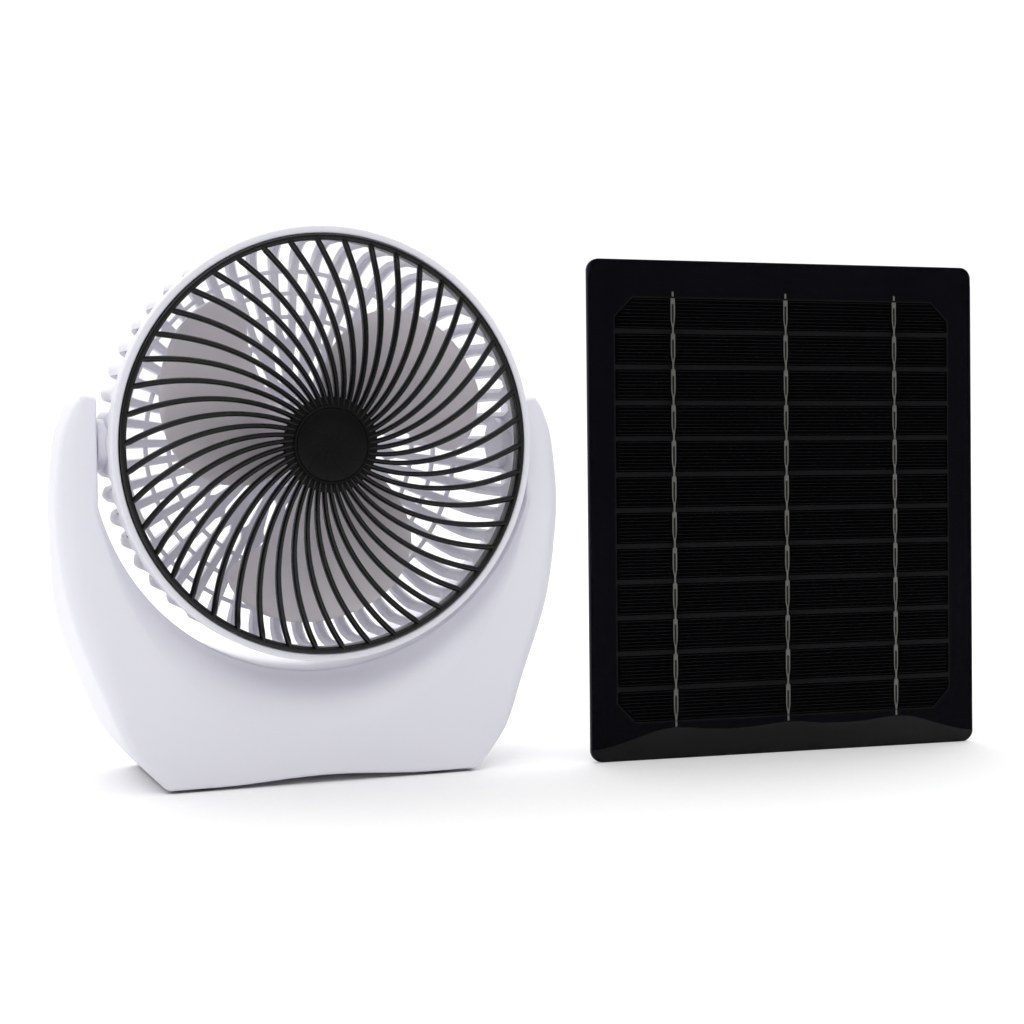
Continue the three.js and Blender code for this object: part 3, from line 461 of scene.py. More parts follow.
def start_material(name):
    """A finish's material, with its node tree and Principled shader, or None for both if the
    material was made before."""
    name += "_finish"
    if name in bpy.data.materials:
        return bpy.data.materials[name], None, None
    material = bpy.data.materials.new(name)
    material.use_nodes = True
    tree = material.node_tree
    return material, tree, tree.nodes["Principled BSDF"]


def place_group(tree, group, values):
    node = tree.nodes.new("ShaderNodeGroup")
    node.node_tree = group
    for label, value in values.items():
        if isinstance(value, tuple):
            node.inputs[label].default_value = (*value[:3], 1)
        elif isinstance(value, (int, float)):
            node.inputs[label].default_value = value
        else:
            tree.links.new(value, node.inputs[label])
    return node


def bump(tree, shader, height, strength, distance):
    node = tree.nodes.new("ShaderNodeBump")
    node.inputs["Strength"].default_value = strength
    node.inputs["Distance"].default_value = distance * MM
    tree.links.new(height, node.inputs["Height"])
    tree.links.new(node.outputs["Normal"], shader.inputs["Normal"])


def moulding(name, colour, shade, roughness, worn, grain_scale=1800.0, grain=0.12, wear=0.4, dust=0.06):
    """A moulded plastic or rubber: skin, polished edges, a little dust, fine grain."""
    material, tree, shader = start_material(name)
    if tree is None:
        return material
    skin = place_group(
        tree,
        moulded_skin_group(),
        {"Colour": colour, "Shade Colour": shade, "Grain Scale": grain_scale, "Roughness": roughness},
    )
    edges = place_group(
        tree,
        edge_wear_group(),
        {"Colour": skin.outputs["Colour"], "Worn Colour": worn, "Amount": wear},
    )
    dusty = place_group(
        tree,
        settled_dust_group(),
        {"Colour": edges.outputs["Colour"], "Roughness": skin.outputs["Roughness"], "Amount": dust},
    )
    tree.links.new(dusty.outputs["Colour"], shader.inputs["Base Color"])
    tree.links.new(dusty.outputs["Roughness"], shader.inputs["Roughness"])
    bump(tree, shader, skin.outputs["Height"], grain, 0.03)
    return material


def tone(colour, share):
    return tuple(c * share for c in colour[:3])


def white_shell():
    look = bpy.context.scene.fan_finishes
    colour = tuple(look.shell)
    return moulding("white_shell", colour, tone(colour, 0.975), 0.36, tone(colour, 1.04), wear=0.3)


def black_grille():
    look = bpy.context.scene.fan_finishes
    colour = tuple(look.grille)
    material = moulding(
        "black_grille", colour, tone(colour, 0.8), 0.24, tone(colour, 3.0), grain=0.06, dust=0.005
    )
    material.node_tree.nodes["Principled BSDF"].inputs["Specular IOR Level"].default_value = 0.32
    return material


def cap_black():
    """The grille's plastic where it is duller, on its hub and cap."""
    look = bpy.context.scene.fan_finishes
    colour = tuple(look.grille)
    material = moulding(
        "cap_black", colour, tone(colour, 0.8), 0.36, tone(colour, 3.0), grain=0.08, dust=0.005
    )
    material.node_tree.nodes["Principled BSDF"].inputs["Specular IOR Level"].default_value = 0.1
    return material


def milky_blade():
    look = bpy.context.scene.fan_finishes
    colour = tuple(look.blade)
    material = moulding("milky_blade", colour, tone(colour, 0.95), 0.34, tone(colour, 1.1), grain=0.05)
    shader = material.node_tree.nodes["Principled BSDF"]
    shader.inputs["Subsurface Weight"].default_value = 0.25
    shader.inputs["Subsurface Radius"].default_value = (1.0, 0.9, 0.95)
    shader.inputs["Subsurface Scale"].default_value = 1.5 * MM
    return material


def black_board():
    look = bpy.context.scene.fan_finishes
    material = moulding(
        "black_board", tuple(look.board), tone(look.board, 0.85), 0.3, tone(look.board, 2.0),
        grain_scale=900.0, grain=0.06, dust=0.005,
    )
    material.node_tree.nodes["Principled BSDF"].inputs["Specular IOR Level"].default_value = 0.03
    return material


def black_socket():
    return moulding("black_socket", (0.02, 0.02, 0.021), (0.016, 0.016, 0.017), 0.45, (0.05, 0.05, 0.05))


def grey_button():
    return moulding("grey_button", (0.5, 0.5, 0.53), (0.46, 0.46, 0.49), 0.42, (0.58, 0.58, 0.6))


def rubber():
    return moulding(
        "rubber", (0.028, 0.028, 0.03), (0.02, 0.02, 0.022), 0.75, (0.06, 0.06, 0.06),
        grain_scale=1100.0, grain=0.35, dust=0.2,
    )


def nylon():
    return moulding("nylon", (0.72, 0.70, 0.63), (0.66, 0.64, 0.57), 0.5, (0.8, 0.78, 0.72), grain=0.08)


def metal(name, colour, roughness, streak_scale=(40.0, 900.0, 40.0)):
    """Turned or drawn metal: fine streaks in its roughness and a faint bump."""
    material, tree, shader = start_material(name)
    if tree is None:
        return material
    stretch = tree.nodes.new("ShaderNodeMapping")
    stretch.inputs["Scale"].default_value = streak_scale
    tree.links.new(tree.nodes.new("ShaderNodeTexCoord").outputs["Object"], stretch.inputs["Vector"])
    streaks = noise(tree, stretch.outputs["Vector"], 6.0, detail=5.0)
    edges = place_group(
        tree,
        edge_wear_group(),
        {"Colour": colour, "Worn Colour": tone(colour, 1.3), "Amount": 0.5},
    )
    tinted = mix_colour(
        tree, ramp(tree, streaks.outputs["Fac"], 0.35, 0.7), edges.outputs["Colour"], tone(colour, 0.8)
    )
    tree.links.new(tinted, shader.inputs["Base Color"])
    tree.links.new(
        ramp(tree, streaks.outputs["Fac"], 0.3, 0.7, roughness * 0.8, roughness * 1.25),
        shader.inputs["Roughness"],
    )
    shader.inputs["Metallic"].default_value = 1.0
    bump(tree, shader, streaks.outputs["Fac"], 0.08, 0.02)
    return material


def steel():
    return metal("steel", (0.55, 0.56, 0.57), 0.32)


def brass():
    return metal("brass", (0.66, 0.47, 0.2), 0.38)


def tinned_ribbon():
    look = bpy.context.scene.fan_finishes
    material = metal("tinned_ribbon", tuple(look.ribbon), 0.42, streak_scale=(30.0, 30.0, 500.0))
    shader = material.node_tree.nodes["Principled BSDF"]
    shader.inputs["Metallic"].default_value = 0.6
    return material


def ribbon_channel():
    return metal("ribbon_channel", (0.09, 0.09, 0.088), 0.5, streak_scale=(30.0, 30.0, 500.0))


def cell_black():
    """Silicon with its etched mottle, seen through the film."""
    material, tree, shader = start_material("cell_black")
    if tree is None:
        return material
    where = tree.nodes.new("ShaderNodeTexCoord").outputs["Object"]
    etched = noise(tree, where, 260.0, detail=6.0, roughness=0.7)
    tinted = mix_colour(
        tree, ramp(tree, etched.outputs["Fac"], 0.3, 0.75), (0.0005, 0.0005, 0.0006), (0.0011, 0.0011, 0.0014)
    )
    tree.links.new(tinted, shader.inputs["Base Color"])
    tree.links.new(ramp(tree, etched.outputs["Fac"], 0.3, 0.7, 0.45, 0.6), shader.inputs["Roughness"])
    shader.inputs["Specular IOR Level"].default_value = 0.01
    bump(tree, shader, etched.outputs["Fac"], 0.1, 0.02)
    return material


def backing_painted_shade():
    """Dark embossed sheet behind the cells, darker than the board: painted shade between the strips."""
    return moulding(
        "backing_painted_shade", (0.003, 0.003, 0.0048), (0.0024, 0.0024, 0.004), 0.6, (0.004, 0.004, 0.006),
        grain_scale=900.0, grain=0.1, wear=0.0, dust=0.0,
    )


def finger_print():
    """Fired silver paste of the fine cell fingers, dull under the film."""
    material, tree, shader = start_material("finger_print")
    if tree is None:
        return material
    where = tree.nodes.new("ShaderNodeTexCoord").outputs["Object"]
    grains = noise(tree, where, 1500.0, detail=3.0)
    tinted = mix_colour(
        tree, ramp(tree, grains.outputs["Fac"], 0.3, 0.7), (0.022, 0.022, 0.023), (0.036, 0.036, 0.037)
    )
    tree.links.new(tinted, shader.inputs["Base Color"])
    shader.inputs["Roughness"].default_value = 0.6
    shader.inputs["Specular IOR Level"].default_value = 0.02
    return material


def film(name, gloss, alpha):
    """Clear laminate: mostly see-through, with its gloss and a faint embossed waviness."""
    material, tree, shader = start_material(name)
    if tree is None:
        return material
    where = tree.nodes.new("ShaderNodeTexCoord").outputs["Object"]
    waves = noise(tree, where, 45.0, detail=2.0)
    smear = noise(tree, where, 130.0, detail=5.0)
    shader.inputs["Base Color"].default_value = (0.001, 0.001, 0.0014, 1)
    shader.inputs["Alpha"].default_value = alpha
    shader.inputs["Specular IOR Level"].default_value = gloss
    tree.links.new(ramp(tree, smear.outputs["Fac"], 0.3, 0.7, 0.05, 0.12), shader.inputs["Roughness"])
    bump(tree, shader, waves.outputs["Fac"], 0.05, 0.2)
    return material


def clear_film():
    return film("clear_film", 0.01, 0.3)


def film_edge():
    return film("film_edge", 0.24, 0.6)


def clear_lens():
    """Small light-guide in clear plastic."""
    material, tree, shader = start_material("clear_lens")
    if tree is None:
        return material
    where = tree.nodes.new("ShaderNodeTexCoord").outputs["Object"]
    cloud = noise(tree, where, 900.0)
    tree.links.new(
        mix_colour(tree, ramp(tree, cloud.outputs["Fac"], 0.3, 0.7), (0.8, 0.95, 0.82), (0.7, 0.9, 0.75)),
        shader.inputs["Base Color"],
    )
    shader.inputs["Roughness"].default_value = 0.12
    shader.inputs["Transmission Weight"].default_value = 0.6
    return material


def circuit_board():
    """Green solder mask with copper tracks under it."""
    material, tree, shader = start_material("circuit_board")
    if tree is None:
        return material
    where = tree.nodes.new("ShaderNodeTexCoord").outputs["Object"]
    cells = tree.nodes.new("ShaderNodeTexVoronoi")
    cells.feature = "DISTANCE_TO_EDGE"
    cells.distance = "EUCLIDEAN"
    cells.inputs["Scale"].default_value = 260.0
    tree.links.new(where, cells.inputs["Vector"])
    tracks = ramp(tree, cells.outputs["Distance"], 0.05, 0.11)
    tree.links.new(
        mix_colour(tree, tracks, (0.05, 0.22, 0.09), (0.012, 0.10, 0.035)), shader.inputs["Base Color"]
    )
    shader.inputs["Roughness"].default_value = 0.3
    bump(tree, shader, tracks, 0.2, 0.05)
    return material


def battery_wrap():
    """Heat-shrink sleeve with slight wrinkles along the cell."""
    material, tree, shader = start_material("battery_wrap")
    if tree is None:
        return material
    stretch = tree.nodes.new("ShaderNodeMapping")
    stretch.inputs["Scale"].default_value = (30.0, 400.0, 400.0)
    tree.links.new(tree.nodes.new("ShaderNodeTexCoord").outputs["Object"], stretch.inputs["Vector"])
    wrinkles = noise(tree, stretch.outputs["Vector"], 1.0, detail=3.0)
    tree.links.new(
        mix_colour(tree, ramp(tree, wrinkles.outputs["Fac"], 0.3, 0.7), (0.04, 0.17, 0.5), (0.05, 0.2, 0.56)),
        shader.inputs["Base Color"],
    )
    shader.inputs["Roughness"].default_value = 0.28
    bump(tree, shader, wrinkles.outputs["Fac"], 0.15, 0.05)
    return material


FINISHES = {
    "white_shell": white_shell,
    "black_grille": black_grille,
    "milky_blade": milky_blade,
    "black_board": black_board,
    "black_socket": black_socket,
    "grey_button": grey_button,
    "rubber": rubber,
    "nylon": nylon,
    "steel": steel,
    "brass": brass,
    "tinned_ribbon": tinned_ribbon,
    "cell_black": cell_black,
    "clear_film": clear_film,
    "clear_lens": clear_lens,
    "circuit_board": circuit_board,
    "battery_wrap": battery_wrap,
}


# The yoke base.

YOKE_RADIUS = 90.5
ARM_INNER = 87.5
YOKE_FRONT = -20.0
YOKE_LEAN = math.tan(math.radians(3.2))
FOOT_REAR = 50.0
ARM_REAR = 16.0
EDGE_HEIGHT = 1.2
ARCH_HALF_WIDTH = 45.0
ARCH_RISE = 1.8
SIDE_OUTLINE = [
    (63.5, EDGE_HEIGHT), (77, 17), (86, 37), (98, 70), (102.9, 105), (101, 133), (97, 146), (93.6, 151.4),
]
FLOOR_HALF = 62.6
DISH_REACH = 23.5
DISH_DEPTH = 12.0
DISH_SPREAD = 1.08
TIP_ROUND = 3.5
SIDE_ROUND = 8.0
FLOOR_ROUND = 1.5
REAR_ROUND = 6.0
SEAM = 0.04
SHELL_SCREWS = [(-46, 12), (46, 12), (-94.8, 100), (94.8, 100)]
BUTTON_PLACE = (-22, 20)
LENS_PLACE = (0, 20)
JACK_PLACE = (22, 18)


def yoke_front(z):
    return YOKE_FRONT + z * YOKE_LEAN


def yoke_rear(z):
    return mix(FOOT_REAR, ARM_REAR, smooth(z, 44, 104))


def base_stations():
    """Where the base's sections are taken: (x, z, rounding, tip share, on the floor)."""
    stations = []
    floor_steps, side_steps, tip_steps = 16, 64, 6
    for i in range(floor_steps + 1):
        x = FLOOR_HALF * i / floor_steps
        arch = math.cos(math.pi * x / (2 * ARCH_HALF_WIDTH)) ** 2 if x < ARCH_HALF_WIDTH else 0
        stations.append((x, EDGE_HEIGHT + ARCH_RISE * arch, FLOOR_ROUND, 0, True))
    for i in range(1, side_steps + 1):
        share = i / side_steps
        x, z = curve_through(SIDE_OUTLINE, share)
        stations.append((x, z, mix(FLOOR_ROUND, SIDE_ROUND, smooth(share, 0, 0.35)), 0, False))
    end = stations[-1]
    for i in range(1, tip_steps + 1):
        tip = i / tip_steps
        lift = TIP_ROUND * math.sin(tip * math.pi / 2) * 0.6
        stations.append((end[0] - lift * 0.1, end[1] + lift, end[2], tip, False))
    mirrored = [(-x, z, r, tip, low) for x, z, r, tip, low in reversed(stations[1:])]
    return mirrored + stations


def yoke_section(station, front):
    """One section of the front or the rear shell, from the outer parting edge round to the inner."""
    x, z, rounding, tip, _ = station
    side = -1 if x < 0 else 1
    drop = PIVOT_HEIGHT - z
    reach, angle = math.hypot(x, drop), math.atan2(abs(x), drop)
    inset = TIP_ROUND * (1 - math.cos(tip * math.pi / 2))
    outer = reach - inset
    inner = min(YOKE_RADIUS, ARM_INNER / max(math.sin(angle), 1e-3)) + inset * 0.2
    width = outer - inner
    share = math.cos(min(angle * DISH_SPREAD, math.pi / 2)) ** 2
    dish = DISH_DEPTH * share
    lip = min(1.0, width * 0.12)
    soft = min(rounding, width * 0.42)
    crease = min(inner + max(2 * lip, DISH_REACH * share), outer - soft - lip)
    points = []

    def put(r, y):
        points.append((side * r * math.sin(angle), y, PIVOT_HEIGHT - r * math.cos(angle)))

    def face(r, depth):
        pz = PIVOT_HEIGHT - r * math.cos(angle)
        put(r, yoke_front(pz) + inset + depth if front else yoke_rear(pz) - inset - depth)

    def edge_y(r, depth):
        pz = PIVOT_HEIGHT - r * math.cos(angle)
        return yoke_front(pz) + inset + depth if front else yoke_rear(pz) - inset - depth

    parting = -SEAM if front else SEAM
    outer_round = soft if front else min(REAR_ROUND, width * 0.42)
    for k in range(4):
        put(outer, mix(parting, edge_y(outer, outer_round), k / 4))
    for k in range(9):
        a = k / 8 * math.pi / 2
        face(outer - outer_round * (1 - math.cos(a)), outer_round * (1 - math.sin(a)))
    if front:
        start = outer - outer_round
        for k in range(1, 6):
            face(mix(start, crease, k / 6), 0)
        for k in range(13):
            u = k / 12
            face(mix(crease, inner + lip, u), dish * u ** 1.35)
        inner_depth = dish
    else:
        inner_depth = 0.0
        for k in range(1, 19):
            face(mix(outer - outer_round, inner + lip, k / 18), 0)
    for k in range(1, 5):
        a = k / 4 * math.pi / 2
        face(inner + lip * (1 - math.sin(a)), inner_depth + lip * (1 - math.cos(a)))
    for k in range(1, 5):
        put(inner, mix(edge_y(inner, inner_depth + lip), parting, k / 4))
    return points


def base_shell(name, front):
    stations = base_stations()
    rows = [yoke_section(station, front) for station in stations]
    on_floor = [station[4] for station in stations]
    shape = Shape()
    shape.grid(rows, keep=lambda i, j: not (j < 4 and on_floor[i] and on_floor[i + 1]))
    count = len(rows[0])
    shape.faces.append(tuple(range(count)))
    shape.faces.append(tuple((len(rows) - 1) * count + j for j in reversed(range(count))))
    obj = build(name, shape, FAN, inside=(0, 0, 30), sharp=50)
    thicken(obj, 2.2)
    return obj


def rear_ports():
    """The holes in the rear shell, and the recesses of its screws."""
    tools = Shape()
    for (x, z), radius in ((BUTTON_PLACE, 5.3), (LENS_PLACE, 1.9), (JACK_PLACE, 3.4)):
        tools.loft([
            [(x + radius * math.cos(a), y, z + radius * math.sin(a)) for a in circle(40)]
            for y in (40, 60)
        ])
    for x, z in SHELL_SCREWS:
        seat = yoke_rear(z) - 3
        tools.loft([
            [(x + 3 * math.cos(a), y, z + 3 * math.sin(a)) for a in circle(32)]
            for y in (seat, 70)
        ])
    return tools


def circle(steps):
    return [2 * math.pi * k / steps for k in range(steps)]


def pan_screw(name, node, place, centre, shaft, head, seat, tip, body):
    """A pan-head screw along Y, its head towards +Y if tip lies below seat, with a cross recess."""
    x, z = centre
    way = 1 if tip < seat else -1
    height = head * 0.62
    profile = [(0, tip), (shaft * 0.55, tip), (shaft, tip + way * 1.2), (shaft, seat), (head, seat)]
    for k in range(7):
        a = k / 6 * math.pi / 2
        profile.append((head * math.cos(a) ** 0.6 if k < 6 else 0, seat + way * height * math.sin(a)))
    obj = build(name, Shape().lathe(profile, 32, centre=(x, 0, z), open_ends=True), place)
    recess = Shape()
    top = seat + way * height
    y0, y1 = sorted((top - way * height * 0.6, top + way * 1.0))
    arm, slot = head * 0.5, head * 0.13
    recess.box((x - arm, y0, z - slot), (x + arm, y1, z + slot))
    carve(obj, recess, place)
    carve(obj, Shape().box((x - slot, y0, z - arm), (x + slot, y1, z + arm)), place)
    return finish_piece(obj, body, "steel", replaces=(node,))


# The head.

HEAD_RADIUS = 84.6
GRILLE_RADIUS = 81.4
GRILLE_FACE = -26.0
HOUSING_RADIUS = 84.2
HOUSING_BACK = 33.0
RIM_FRONT = -24.5
RIM_BACK = -17.0
LEDGE_RADIUS = 79.2
VENT_START = -11.0
VENT_INNER = 44.0
CUP_RADIUS = 18.8
CUP_FRONT = 3.6
MOTOR_RADIUS = 16.0
BOSS_RADIUS = 10.0
BOSS_ROOT = 78.0
BOSS_VENT_START = 12.0
BOSS_FACE = ARM_INNER - 0.6
RING_INNER = 79.0
HUB_RADIUS = 18.5
HUB_RISE = 2.4
FIRST_SPOKE = math.radians(-0.6)
CAP_RADIUS = 14.2


def vent_half_width(sector, vents, radius, y):
    """Half the width of the opening between two ribs of the housing, in millimetres."""
    middle = (sector + 0.5) * 2 * math.pi / vents
    near_boss = abs(math.sin(middle)) * HOUSING_RADIUS < BOSS_RADIUS + 3
    start = BOSS_VENT_START if near_boss else VENT_START
    if radius >= VENT_INNER:
        full = mix(1.3, 2.5, (radius - VENT_INNER) / (HOUSING_RADIUS + 4 - VENT_INNER))
        if radius > HOUSING_RADIUS - 12 and y < start + 7:
            return full * max(0.0, (y - start) / 7) ** 0.6
        return full * math.sqrt(max(0.0, 1 - max(0.0, 1 - (radius - VENT_INNER) / 1.5) ** 2))
    if sector % 2 == 0 and 25 <= radius <= 40:
        ends = min(radius - 25, 40 - radius) / 1.3
        return 1.3 * math.sqrt(max(0.0, 1 - max(0.0, 1 - ends) ** 2))
    return 0.0


def housing_bowl(vents, scallop):
    """The ribbed wall and back of the head as one sheet, open between its ribs."""
    corners = [
        (HOUSING_RADIUS, RIM_BACK + 0.6), (HOUSING_RADIUS, 16), (HOUSING_RADIUS - 6, 25),
        (HOUSING_RADIUS - 20, 29), (CUP_RADIUS - 0.4, HOUSING_BACK),
    ]
    path = even_path(rounded_path(corners, 7.0, 8), 1.6)
    extra = [(HOUSING_RADIUS, VENT_START + d) for d in (0, 0.15, 0.5, 1.0)]
    extra += [(HOUSING_RADIUS, BOSS_VENT_START)]
    path = sorted({(round(r, 4), round(y, 4)) for r, y in path + extra}, key=lambda p: (p[1], -p[0]))
    across = [-1, -0.8, -0.45, 0, 0.45, 0.8, 1]
    pitch = 2 * math.pi / vents
    rows, open_rows = [], []
    for r, y in path:
        row = []
        widths = [vent_half_width(s, vents, r, y) for s in range(vents)]
        for s in range(vents):
            left, right = widths[s - 1] / r, widths[s] / r
            for u in across:
                half = pitch / 2 - (left if u < 0 else right)
                angle = s * pitch + u * half
                sink = scallop * u * u * smooth(y, VENT_START - 5, VENT_START + 2) * smooth(r, 40, 60)
                row.append(((r - sink) * math.cos(angle), y, (r - sink) * math.sin(angle)))
        rows.append(row)
        open_rows.append(widths)
    shape = Shape()
    count = len(across)

    def keep(i, j):
        sector, column = divmod(j, count)
        if column < count - 1:
            return True
        return open_rows[i][sector] <= 0 and open_rows[i + 1][sector] <= 0

    shape.grid(rows, closed_across=True, keep=keep)
    return shape


def spoke_angle(r):
    inward = RING_INNER - r
    return math.radians(-0.4 * inward - 0.0008 * inward**2)


def spoke_loops(first_angle):
    """Sections along one spoke: a roof-shaped bar that stands a little over ring and hub."""
    loops = []
    inner, outer = CAP_RADIUS + 0.7, RING_INNER + 1.4
    steps = 34
    for i in range(steps + 1):
        share = 1 - (1 - i / steps) ** 1.15
        r = mix(inner, outer, share)
        tip = smooth(r, RING_INNER - 0.3, outer)
        half = mix(0.92, 1.16, share) * mix(1, 0.3, tip)
        if i == 0:
            half *= 0.6
        angle = first_angle + spoke_angle(r)
        ahead = first_angle + spoke_angle(r + 0.1)
        way = Vector(((r + 0.1) * math.cos(ahead) - r * math.cos(angle),
                      (r + 0.1) * math.sin(ahead) - r * math.sin(angle))).normalized()
        x, z = r * math.cos(angle), r * math.sin(angle)
        front = GRILLE_FACE + 0.35 - HUB_RISE * (1 - r / RING_INNER)
        front -= 0.55 * smooth(r, RING_INNER - 5, RING_INNER - 1)
        back = front + mix(3.0, 2.0, smooth(r, 60, 79))
        section = [
            (-1.0, back), (-1.0, front + 1.35), (-0.9, front + 1.0), (-0.45, front + 0.12),
            (-0.3, front), (0.3, front), (0.45, front + 0.12), (0.9, front + 1.0),
            (1.0, front + 1.35), (1.0, back),
        ]
        loops.append([(x - way.y * half * u, y, z + way.x * half * u) for u, y in section])
    return loops


def grille_shape(spokes):
    ring = rounded_loop([
        (RING_INNER, GRILLE_FACE + 1.0), (RING_INNER + 0.45, GRILLE_FACE + 0.9),
        (RING_INNER + 0.65, GRILLE_FACE + 0.05), (GRILLE_RADIUS - 0.4, GRILLE_FACE),
        (GRILLE_RADIUS, GRILLE_FACE + 0.5), (GRILLE_RADIUS, GRILLE_FACE + 6),
        (RING_INNER, GRILLE_FACE + 6),
    ], 0.3, 3)
    shape = Shape().lathe(ring, 184)
    for i in range(spokes):
        shape.loft(spoke_loops(FIRST_SPOKE + i * 2 * math.pi / spokes))
    return shape


def hub_shape():
    """The grille's middle disc, which the spokes cross, and the raised circle round its cap."""
    face = GRILLE_FACE - HUB_RISE + 1.2
    hub = rounded_loop([
        (CAP_RADIUS + 0.25, face), (HUB_RADIUS + 0.2, face), (HUB_RADIUS + 0.2, face + 3.6),
        (4, face + 3.6), (4, face + 1.4), (CAP_RADIUS + 0.25, face + 1.4),
    ], 0.3, 2)
    shape = Shape().lathe(hub, 92)
    middle, top = CAP_RADIUS + 0.62, GRILLE_FACE - HUB_RISE + 0.02
    collar = rounded_loop([
        (middle - 0.47, top), (middle + 0.3, top), (middle + 0.62, top + 0.5),
        (middle + 0.62, face + 0.3), (middle - 0.47, face + 0.3),
    ], 0.18, 3)
    return shape.lathe(collar, 120)


def cap_shape():
    """Round cap with ten fine curved ridges that run in from its edge."""
    face = GRILLE_FACE - HUB_RISE - 0.05
    profile = [(0, face + 3.6), (3.4, face + 3.6), (3.4, face + 1.7), (13.4, face + 1.7), (CAP_RADIUS, face + 1.2)]
    profile += [(CAP_RADIUS, face + 0.35), (CAP_RADIUS - 0.12, face + 0.12), (CAP_RADIUS - 0.4, face)]
    profile += [(9.0, face - 0.03), (4.0, face - 0.02), (0, face)]
    shape = Shape().lathe(profile, 96, open_ends=True)
    for k in range(10):
        start = math.radians(36 * k + 8)
        loops = []
        for i in range(17):
            share = i / 16
            r = mix(2.2, CAP_RADIUS - 0.3, share)
            angle = start + math.radians(38) * (1 - share) ** 1.6 * -1
            half = 0.24 * math.sin(math.pi * min(max(share, 0.06), 0.97)) ** 0.4
            across = (-math.sin(angle), math.cos(angle))
            x, z = r * math.cos(angle), r * math.sin(angle)
            loops.append([
                (x + across[0] * half * u, face + y, z + across[1] * half * u)
                for u, y in ((-1, 0.08), (-0.5, -0.13), (0, -0.2), (0.5, -0.13), (1, 0.08))
            ])
        shape.loft(loops)
    for k in range(3):
        a = math.radians(100 + 120 * k)
        dot = [(0, -0.14), (0.22, -0.1), (0.3, 0.05), (0, 0.05)]
        shape.lathe(dot, 10, centre=(2.1 * math.cos(a), face, 2.1 * math.sin(a)), open_ends=True)
    return shape


IMPELLER_FRONT = -19.0
IMPELLER_BACK = 1.2
IMPELLER_RADIUS = 17.0
BLADE_TIP = 71.5
FIRST_BLADE = math.radians(52)


def blade_loops(turn, thickness):
    loops = []
    rows, columns = 46, 30
    for i in range(rows + 1):
        part = i / rows
        r = mix(IMPELLER_RADIUS - 1, BLADE_TIP - 0.12, 1 - (1 - part) ** 1.7)
        tip = min(max(r - 50, 0) / (BLADE_TIP - 50), 1)
        centre = math.radians(-32 * (max(r - 20, 0) / 50) ** 1.6)
        half = math.radians((41 - 0.12 * (r - 20)) * (1 - tip**2.5) ** 0.6)
        rise = mix(7, 11, smooth(r, 17, 55))
        front, back = [], []
        for j in range(columns + 1):
            across = -math.cos(math.pi * j / columns)
            angle = turn + centre + half * across
            y = -6.5 - rise * across * min(half / 0.5, 1) - 1.6 * (1 - across**2)
            thick = thickness / 2 * (0.25 + 0.75 * math.sqrt(max(0.0, 1 - across**2)))
            x, z = r * math.cos(angle), r * math.sin(angle)
            front.append((x, y - thick, z))
            back.append((x, y + thick, z))
        loops.append(back + front[::-1])
    return loops


# The solar panel, drawn upright with its front at y = 0 and its lower edge on z = 0.

PANEL_WIDTH = 180.0
PANEL_HEIGHT = 210.0
PANEL_CORNER = 5.0
STRIPS = 12
STRIP_PITCH = 15.0
STRIP_HEIGHT = 13.0
CELL_WIDTH = 156.0
ARRAY_HEIGHT = (STRIPS - 1) * STRIP_PITCH + STRIP_HEIGHT
ARRAY_BASE = (PANEL_HEIGHT - ARRAY_HEIGHT) / 2
ARRAY_TOP = ARRAY_BASE + ARRAY_HEIGHT
CELL_FRONT = 0.6
RIBBON_FRONT = 0.4
RIBBONS = [-52.0, 0.0, 52.0]
CHAMFER = 8.0


def strip_outline(index, inset=0.0):
    z0 = ARRAY_BASE + index * STRIP_PITCH + inset
    z1 = z0 + STRIP_HEIGHT - 2 * inset
    half = CELL_WIDTH / 2 - inset
    low = CHAMFER if index == 0 else 0.4
    high = CHAMFER if index == STRIPS - 1 else 0.4
    return [
        (-half + low, z0), (half - low, z0), (half, z0 + low), (half, z1 - high),
        (half - high, z1), (-half + high, z1), (-half, z1 - high), (-half, z0 + low),
    ]


def finger_half_length(index, z):
    half = CELL_WIDTH / 2 - 1.0
    if index == 0:
        half -= max(0.0, CHAMFER - (z - ARRAY_BASE))
    if index == STRIPS - 1:
        half -= max(0.0, CHAMFER - (ARRAY_TOP - z))
    return half


def ribbon_form(z):
    """How wide a ribbon is at a height, and how deep its middle lies: it is flat and full at the top
    of each strip, channelled below, and drawn together where it dips under the next strip."""
    below_top = (ARRAY_TOP - z) % STRIP_PITCH
    if below_top > STRIP_HEIGHT:
        return 0.36, 0.0
    draw = smooth(below_top, STRIP_HEIGHT * 0.62, STRIP_HEIGHT)
    half = mix(0.95, 0.36, draw) * mix(0.94, 1.0, smooth(below_top, 0.0, 0.5))
    channel = smooth(below_top, 1.6, 3.4) * (1 - smooth(below_top, STRIP_HEIGHT * 0.72, STRIP_HEIGHT * 0.9))
    return half, 0.13 * channel


